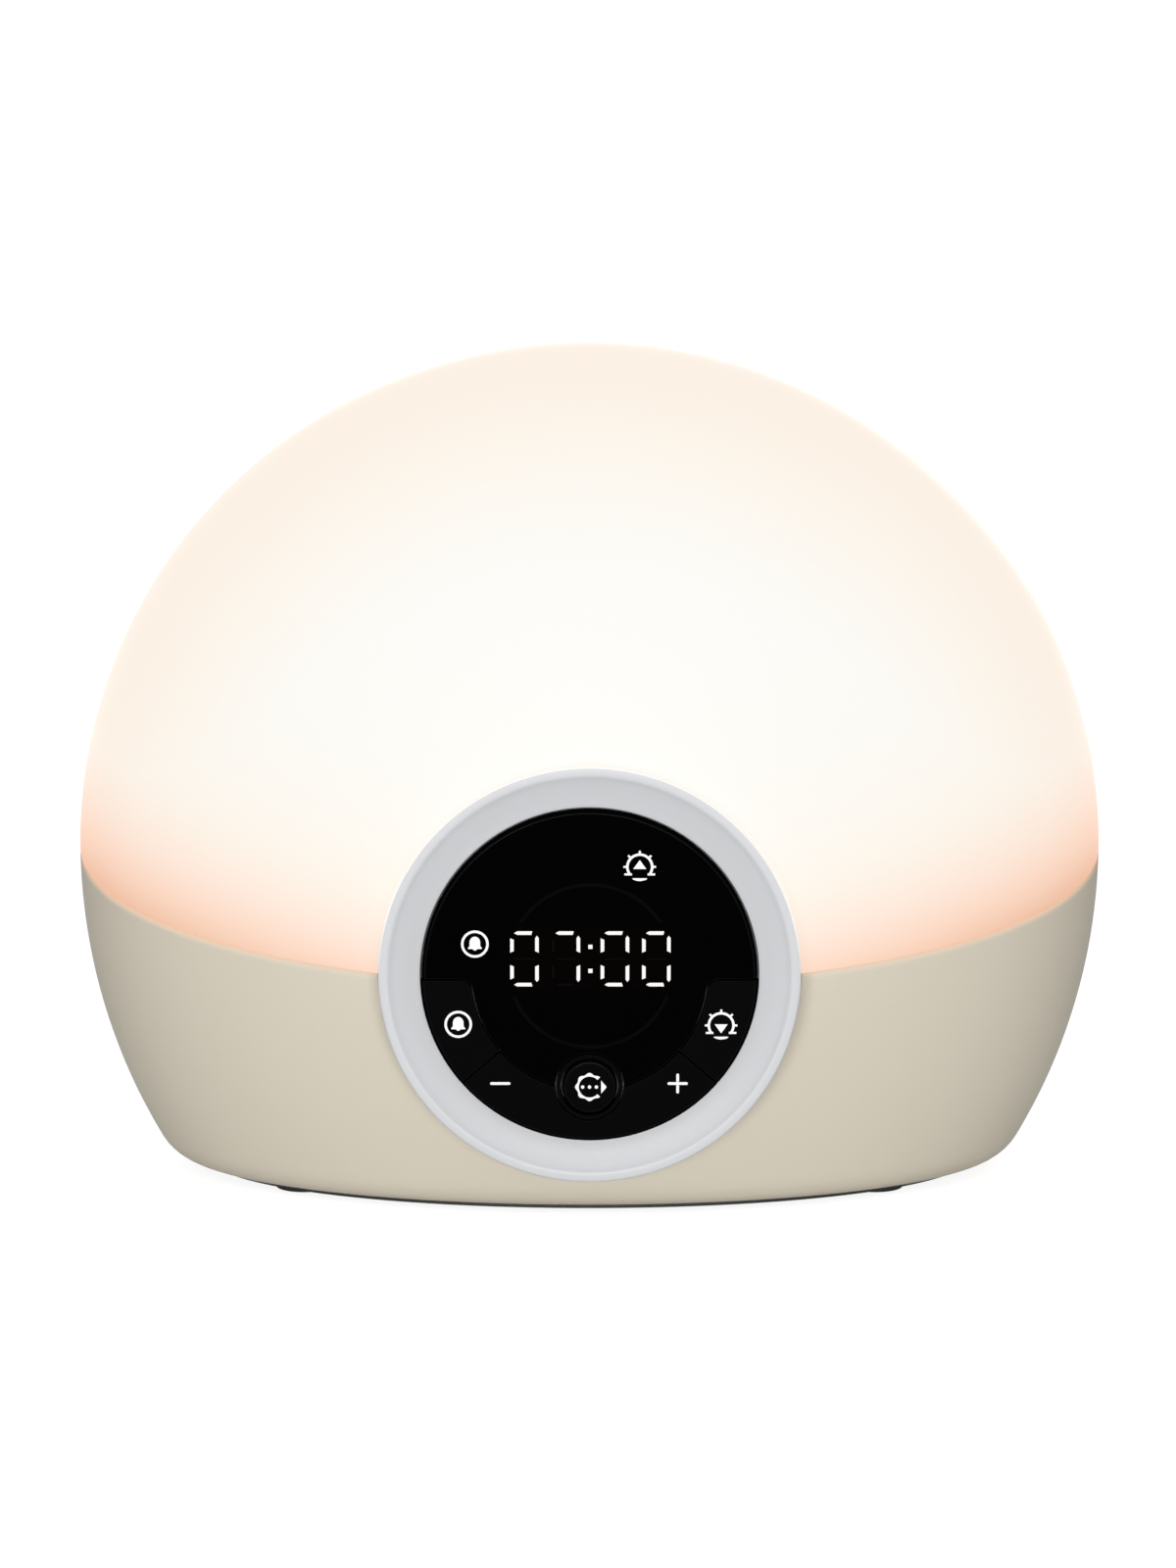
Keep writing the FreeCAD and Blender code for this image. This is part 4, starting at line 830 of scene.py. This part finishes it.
class Sign:
    def __init__(self, name, front):
        self.name, self.front = name, front
        self.points, self.faces = [], []

    def add(self, points, faces):
        self.faces += [tuple(index + len(self.points) for index in face) for face in faces]
        self.points += points

    def spot(self, point, layer):
        x, z = point
        return Vector((x, pod["front"] + self.front - printing["thickness"] * layer, pod["height"] + z))

    def fill(self, outline):
        count = len(outline)
        points = [self.spot(point, layer) for layer in (0, 1) for point in outline]
        faces = [tuple(range(count)), tuple(reversed(range(count, 2 * count)))]
        for turn in range(count):
            beside = (turn + 1) % count
            faces.append((turn, beside, count + beside, count + turn))
        self.add(points, faces)

    def stroke(self, line, width, closed=False):
        rows = []
        for index, here in enumerate(line):
            before = line[index - 1] if index or closed else here
            after = line[(index + 1) % len(line)] if index + 1 < len(line) or closed else here
            here, before, after = Vector(here), Vector(before), Vector(after)
            onward = (after - here).normalized()
            first = (here - before).normalized() if (here - before).length > 0 else onward
            second = onward if (after - here).length > 0 else first
            side = Vector((-(first + second).y, (first + second).x)).normalized()
            reach = width / 2 / max(0.5, side.dot(Vector((-first.y, first.x))))
            rows.append(self.cut(here + side * reach, here - side * reach))
        self.rows(rows, closed)

    def band(self, inner, outer):
        self.rows([self.cut(*pair) for pair in zip(inner, outer)], False)

    def cut(self, first, last):
        return [self.spot(point, layer) for point, layer in ((first, 0), (last, 0), (last, 1), (first, 1))]

    def rows(self, rows, closed):
        points, faces = loft(rows, "loop" if closed else "none")
        if not closed:
            last = len(points) - 4
            faces += [(0, 1, 2, 3), (last, last + 1, last + 2, last + 3)]
        self.add(points, faces)

    def disc(self, centre, radius, count=20):
        self.fill([onCircle(centre, radius, turn) for turn in circleTurns(count)])

    def finish(self, bodyName):
        item = makeObject(self.name, self.points, self.faces, "whitePrint")
        faceOut(item, 60)
        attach(item, bodyName)
        return item


def arc(centre, radius, start, end, count=24):
    return [onCircle(centre, radius, math.radians(start + (end - start) * step / count))
            for step in range(count + 1)]


signs = {
    "bell": (-22.47, 6.37), "alarm": (-25.79, -9.69), "sunUp": (9.82, 21.75), "sunDown": (25.85, -9.9),
    "minus": (-17.57, -21.57), "plus": (17.34, -21.57), "light": (0.0, -22.26), "ring": 2.47,
    "ringWidth": 0.49, "bar": 4.0, "barWidth": 0.54,
    "rays": 5, "rayWidth": 0.41, "rayMiddle": 2.88, "rayLength": 0.62,
    "gearInner": 2.11, "gearOuter": 2.67, "gearTooth": 0.17, "gearTeeth": 8, "gearStart": 43,
    "gearSweep": 274, "gearSteps": 96, "dot": 0.34, "dotStep": 1.35,
    "beam": [(2.27, -1.3), (3.3, -0.12), (3.3, 0.12), (2.27, 1.3)],
    "sunInset": 0.04, "sunStart": -41, "sunEnd": 221, "horizon": (1.52, 3.0, -1.5),
    "arrowUp": [(-1.27, -0.42), (1.27, -0.42), (0, 1.36)],
    "arrowDown": [(1.27, 0.22), (-1.27, 0.22), (0, -1.58)],
    "ground": 2.82, "groundStart": 240, "groundEnd": 300, "groundTop": [(1.4, -2.26), (-1.4, -2.26)],
}
bellHalf = [(0, 1.5), (0.36, 1.42), (0.72, 1.18), (0.97, 0.8), (1.05, 0.36), (1.05, -0.25), (1.13, -0.52),
            (1.35, -0.72), (1.39, -0.87), (1.26, -0.98), (0.42, -1.0), (0.28, -1.2), (0.0, -1.3)]


def moveBy(centre, outline):
    return [(centre[0] + x, centre[1] + z) for x, z in outline]


def addBell(sign, centre):
    sign.stroke(arc(centre, signs["ring"], 0, 360, 64)[:-1], signs["ringWidth"], closed=True)
    outline = bellHalf + [(-x, z) for x, z in reversed(bellHalf[1:-1])]
    sign.fill(moveBy(centre, outline))


class Tree(Nodes):
    # a Geometry Nodes tree with a geometry input, sizes to set and a finish
    def __init__(self, name, sizes, *others):
        super().__init__(bpy.data.node_groups.new(name, "GeometryNodeTree"))
        sockets = [("Geometry", "Geometry"), *[(label, "Float") for label in sizes], *others,
                   ("Finish", "Material")]
        for label, kind in sockets:
            self.tree.interface.new_socket(label, in_out="INPUT", socket_type="NodeSocket" + kind)
        self.tree.interface.new_socket("Geometry", in_out="OUTPUT", socket_type="NodeSocketGeometry")
        self.given = self.tree.nodes.new("NodeGroupInput").outputs

    def box(self, *sides):
        size = self.add("ShaderNodeCombineXYZ", dict(zip("XYZ", sides)))
        return self.add("GeometryNodeMeshCube", {"Size": size})

    def repeat(self, points, shape, towards, axis):
        # the shape at every point, with one axis turned towards a vector
        turn = self.add("FunctionNodeAlignRotationToVector", {"Vector": towards}, axis=axis)
        spread = self.add("GeometryNodeInstanceOnPoints",
                          {"Points": points, "Instance": shape, "Rotation": turn})
        real = self.add("GeometryNodeRealizeInstances", {"Geometry": spread})
        paint = self.add("GeometryNodeSetMaterial", {"Geometry": real, "Material": self.given["Finish"]})
        self.tree.links.new(paint, self.tree.nodes.new("NodeGroupOutput").inputs["Geometry"])
        return self.tree


def socketOf(tree, label):
    return next(item.identifier for item in tree.interface.items_tree
                if item.item_type == "SOCKET" and item.in_out == "INPUT" and item.name == label)


# Rays repeat round an arc, so a node tree places them.
def rayTree():
    made = Tree("raysOnArc", ("Radius", "Start", "Sweep", "Length", "Width", "Thickness"), ("Count", "Int"))
    given = made.given
    curve = made.add("GeometryNodeCurveArc", {
        "Resolution": given["Count"], "Radius": given["Radius"], "Start Angle": given["Start"],
        "Sweep Angle": given["Sweep"],
    })
    spots = made.add("GeometryNodeCurveToPoints", {"Curve": curve}, mode="EVALUATED")
    ray = made.box(given["Length"], given["Width"], given["Thickness"])
    return made.repeat(spots, ray, made.add("GeometryNodeInputPosition", {}), "X")


def grow(name, tree, values, start=None):
    item = makeObject(name, start or [(0, 0, 0)], [])
    step = item.modifiers.new("grow", "NODES")
    step.node_group = tree
    for label, value in values.items():
        step[socketOf(tree, label)] = value
    return bake(item)


raysOnArc = rayTree()


def addRays(sign, centre):
    # five rays over the upper half of the circle
    made = grow("rays", raysOnArc, {
        "Radius": signs["rayMiddle"] * mm, "Start": 0.0, "Sweep": math.pi, "Length": signs["rayLength"] * mm,
        "Width": signs["rayWidth"] * mm, "Thickness": printing["thickness"] * mm, "Count": signs["rays"],
        "Finish": finishes["whitePrint"],
    })
    middle = Vector((centre[0], pod["front"] + sign.front - printing["thickness"] / 2,
                     pod["height"] + centre[1]))
    points = [middle + Vector((vertex.co.x, vertex.co.z, vertex.co.y)) / mm for vertex in made.data.vertices]
    sign.add(points, [tuple(face.vertices) for face in made.data.polygons])
    bpy.data.objects.remove(made)


def addSun(sign, centre, pointsUp):
    x, z = centre
    sign.stroke(arc(centre, signs["ring"] - signs["sunInset"], signs["sunStart"], signs["sunEnd"], 56),
                signs["ringWidth"])
    addRays(sign, centre)
    near, far, rise = signs["horizon"]
    for side in (-1, 1):
        sign.stroke([(x + side * near, z + rise), (x + side * far, z + rise)], signs["rayWidth"])
    sign.fill(moveBy(centre, signs["arrowUp" if pointsUp else "arrowDown"]))
    sign.fill(arc(centre, signs["ground"], signs["groundStart"], signs["groundEnd"], 14)
              + moveBy(centre, signs["groundTop"]))


def roundBar(sign, first, last, width):
    # a bar with rounded ends
    first, last = Vector(first), Vector(last)
    way = math.degrees(math.atan2((last - first).y, (last - first).x))
    sign.fill(arc(last, width / 2, way - 90, way + 90, 8) + arc(first, width / 2, way + 90, way + 270, 8))


statusSigns = Sign("status_signs", printing["panel"])
addBell(statusSigns, signs["bell"])
addSun(statusSigns, signs["sunUp"], True)
statusSigns.finish("clock")
alarmSign = Sign("alarm_sign", printing["panel"])
addBell(alarmSign, signs["alarm"])
alarmSign.finish("alarm_key")
lightSign = Sign("sunset_sign", printing["panel"])
addSun(lightSign, signs["sunDown"], False)
lightSign.finish("light_key")
stepSigns = Sign("step_signs", printing["panel"])
half, width = signs["bar"] / 2, signs["barWidth"]
for label in ("minus", "plus"):
    x, z = signs[label]
    roundBar(stepSigns, (x - half + width / 2, z), (x + half - width / 2, z), width)
x, z = signs["plus"]
for way in (-1, 1):
    roundBar(stepSigns, (x, z + way * width), (x, z + way * (half - width / 2)), width)
stepSigns.finish("minus_plus_rocker")
modeSign = Sign("light_sign", printing["roundKey"])
inner, outer = [], []
for step in range(signs["gearSteps"] + 1):
    angle = math.radians(signs["gearStart"] + signs["gearSweep"] * step / signs["gearSteps"])
    tooth = signs["gearOuter"] + signs["gearTooth"] * math.cos(signs["gearTeeth"] * angle)
    for outline, reach in ((inner, signs["gearInner"]), (outer, tooth)):
        outline.append(onCircle(signs["light"], reach, angle))
modeSign.band(inner, outer)
for step in (-1, 0, 1):
    modeSign.disc((signs["light"][0] + step * signs["dotStep"], signs["light"][1]), signs["dot"])
modeSign.fill(moveBy(signs["light"], signs["beam"]))
modeSign.finish("mode_key")
print("signs made")

# Screws: one tree makes the head with its cross, and the shank, at each given place.
screwParts = ("Head Radius", "Head Height", "Shank Radius", "Slot Width", "Slot Depth")


def screwTree():
    made = Tree("crossHeadScrews", (*screwParts, "Grip"), ("Direction", "Vector"))
    given = made.given
    headHeight, headRadius, slotWidth = given["Head Height"], given["Head Radius"], given["Slot Width"]

    def moved(geometry, height):
        place = made.add("ShaderNodeCombineXYZ", {"Z": height})
        return made.add("GeometryNodeTransform", {"Geometry": geometry, "Translation": place})

    def rod(radius, length, count):
        return made.add("GeometryNodeMeshCylinder", {"Vertices": count, "Radius": radius, "Depth": length})

    head = moved(rod(headRadius, headHeight, 28), made.product(headHeight, 0.5))
    shank = moved(rod(given["Shank Radius"], given["Grip"], 16), made.product(given["Grip"], -0.5))
    slots = [moved(made.box(*sides, given["Slot Depth"]), headHeight)
             for sides in ((headRadius, slotWidth), (slotWidth, headRadius))]
    cross = made.add("GeometryNodeMeshBoolean", {"Mesh 1": head, "Mesh 2": slots}, operation="DIFFERENCE")
    both = made.add("GeometryNodeMeshBoolean", {"Mesh 2": [cross, shank]}, operation="UNION")
    return made.repeat(given["Geometry"], both, given["Direction"], "Z")


crossHeadScrews = screwTree()
screwSizes = {"large": (2.8, 1.4, 1.3, 0.7, 1.2), "small": (1.9, 1.2, 0.9, 0.5, 1.0)}
tilt = Vector((0, -math.sin(body["seamSlope"]), math.cos(body["seamSlope"])))
screwSets = [
    ("base_screws", "large", 8.0, Vector((0, 0, -1))),
    ("pod_cover_screws", "large", 8.0, Vector((0, 1, 0))),
    ("tray_screws", "large", 8.0, tilt),
    ("lamp_board_screws", "small", 4.6, tilt),
    ("main_board_screws", "small", 4.5, Vector((0, 0, 1))),
    ("control_board_screws", "small", 4.0, Vector((0, 1, 0))),
    ("jack_screws", "small", 4.0, Vector((0, -1, 0))),
]


def islandEnds(node, way):
    # each screw of a CAD node: the point of its head's far end, along the way that the head faces
    work = edit(nodes[node])
    bmesh.ops.remove_doubles(work, verts=work.verts, dist=1e-6)
    ends = []
    for island in islandsOf(work):
        reach = max(vertex.co.dot(way) for vertex in island)
        top = [vertex.co for vertex in island if vertex.co.dot(way) > reach - 1e-6]
        ends.append(sum(top, Vector()) / len(top))
    work.free()
    return ends


for node, kind, grip, way in screwSets:
    sizes = dict(zip(screwParts, screwSizes[kind]))
    seats = [(end - way * sizes["Head Height"] * mm) / mm for end in islandEnds(node, way)]
    values = {label: value * mm for label, value in sizes.items()}
    values.update({"Grip": grip * mm, "Direction": way, "Finish": finishes["steel"]})
    made = grow(node.replace("screws", "cross_screws"), crossHeadScrews, values, seats)
    settle(edit(made), made, 30)
    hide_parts(node)
    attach(made, "clock")
print("screws made")

# CAD nodes that stay, with finishes of their own.
nodeFinishes = {
    "whiteTray": "alarm_switch_stem light_switch_stem mode_switch_stem rocker_switch_stems reflector_tray",
    "greyPlastic": "key_frame led_display_module pod_cover",
    "blackParts": "control_board_parts main_board_parts sounder key_switches",
    "greenBoard": "control_board main_board", "whiteBoard": "lamp_board", "aluminium": "heat_spreader",
    "wireSleeve": "display_wires lamp_wires power_wires", "lampAmber": "amber_lamps",
    "lampPhosphor": "white_lamps", "darkBase": "base_plate", "jackCase": "power_jack",
    "steel": "rocker_pin", "rubber": "rubber_feet",
}
for finish, names in nodeFinishes.items():
    for name in names.split():
        for holder in nodes[name].material_slots:
            holder.material = finishes[finish]
print("kept nodes finished")

# Studio: pale floor, white surroundings, soft lamps.
studio = {
    "worldLight": 0.33, "floorReach": 9000, "floorColour": 0.5, "floorWhite": 0.84, "farWhite": 1.0,
    "floorFade": (0.25, 0.9), "aim": (0, 0, 0.08),
    "lamps": [
        {"name": "frontLamp", "at": (-0.06, -1.9, 0.24), "size": 1.0, "height": 0.46, "power": 27.2},
        {"name": "topLamp", "at": (-0.1, -0.5, 1.6), "size": 1.2, "height": 1.2, "power": 1.6},
        {"name": "backLamp", "at": (0.2, 2.1, 0.4), "size": 1.2, "height": 0.5, "power": 17.0},
    ],
}
view = {"at": (-0.0003, -1.1834, 0.2788), "towards": (-0.0003, 0, 0.0797), "lens": 133.9, "reach": 60}

world = bpy.data.worlds.new("studioWorld")
world.use_nodes = True
scene.world = world
sky = Nodes(world.node_tree)
background = world.node_tree.nodes["Background"].inputs
background["Color"].default_value = (1, 1, 1, 1)
sky.put(background["Strength"], sky.fade(sky.eyes(), 0, 1, studio["worldLight"], 1, "LINEAR"))

reach = studio["floorReach"]
floor = makeObject("studioFloor", [(-reach, -reach, 0), (reach, -reach, 0), (reach, reach, 0),
                                   (-reach, reach, 0)], [(0, 1, 2, 3)])
paper = Finish("floorPaper")
floor.data.materials.append(paper.material)
paper.set("Base Color", (studio["floorColour"], studio["floorColour"], studio["floorColour"], 1))
paper.set("Roughness", 1.0)
paper.set("Specular IOR Level", 0.0)
whiteness = paper.fade(paper.away((0, 0, 0), (1, 1, 0)), *studio["floorFade"], studio["floorWhite"],
                       studio["farWhite"])
paper.shine((1, 1, 1, 1), paper.product(paper.eyes(), whiteness))


def aim(holder, at, towards):
    scene.collection.objects.link(holder)
    holder.location = at
    holder.rotation_euler = (Vector(towards) - holder.location).to_track_quat("-Z", "Y").to_euler()


for lamp in studio["lamps"]:
    light = bpy.data.lights.new(lamp["name"], "AREA")
    light.shape = "RECTANGLE"
    light.size, light.size_y, light.energy = lamp["size"], lamp["height"], lamp["power"]
    aim(bpy.data.objects.new(lamp["name"], light), lamp["at"], studio["aim"])
camera = bpy.data.objects.new("camera", bpy.data.cameras.new("camera"))
aim(camera, view["at"], view["towards"])
camera.data.lens, camera.data.clip_end = view["lens"], view["reach"]
scene.camera = camera
scene.view_settings.view_transform = "Standard"
print("studio made")
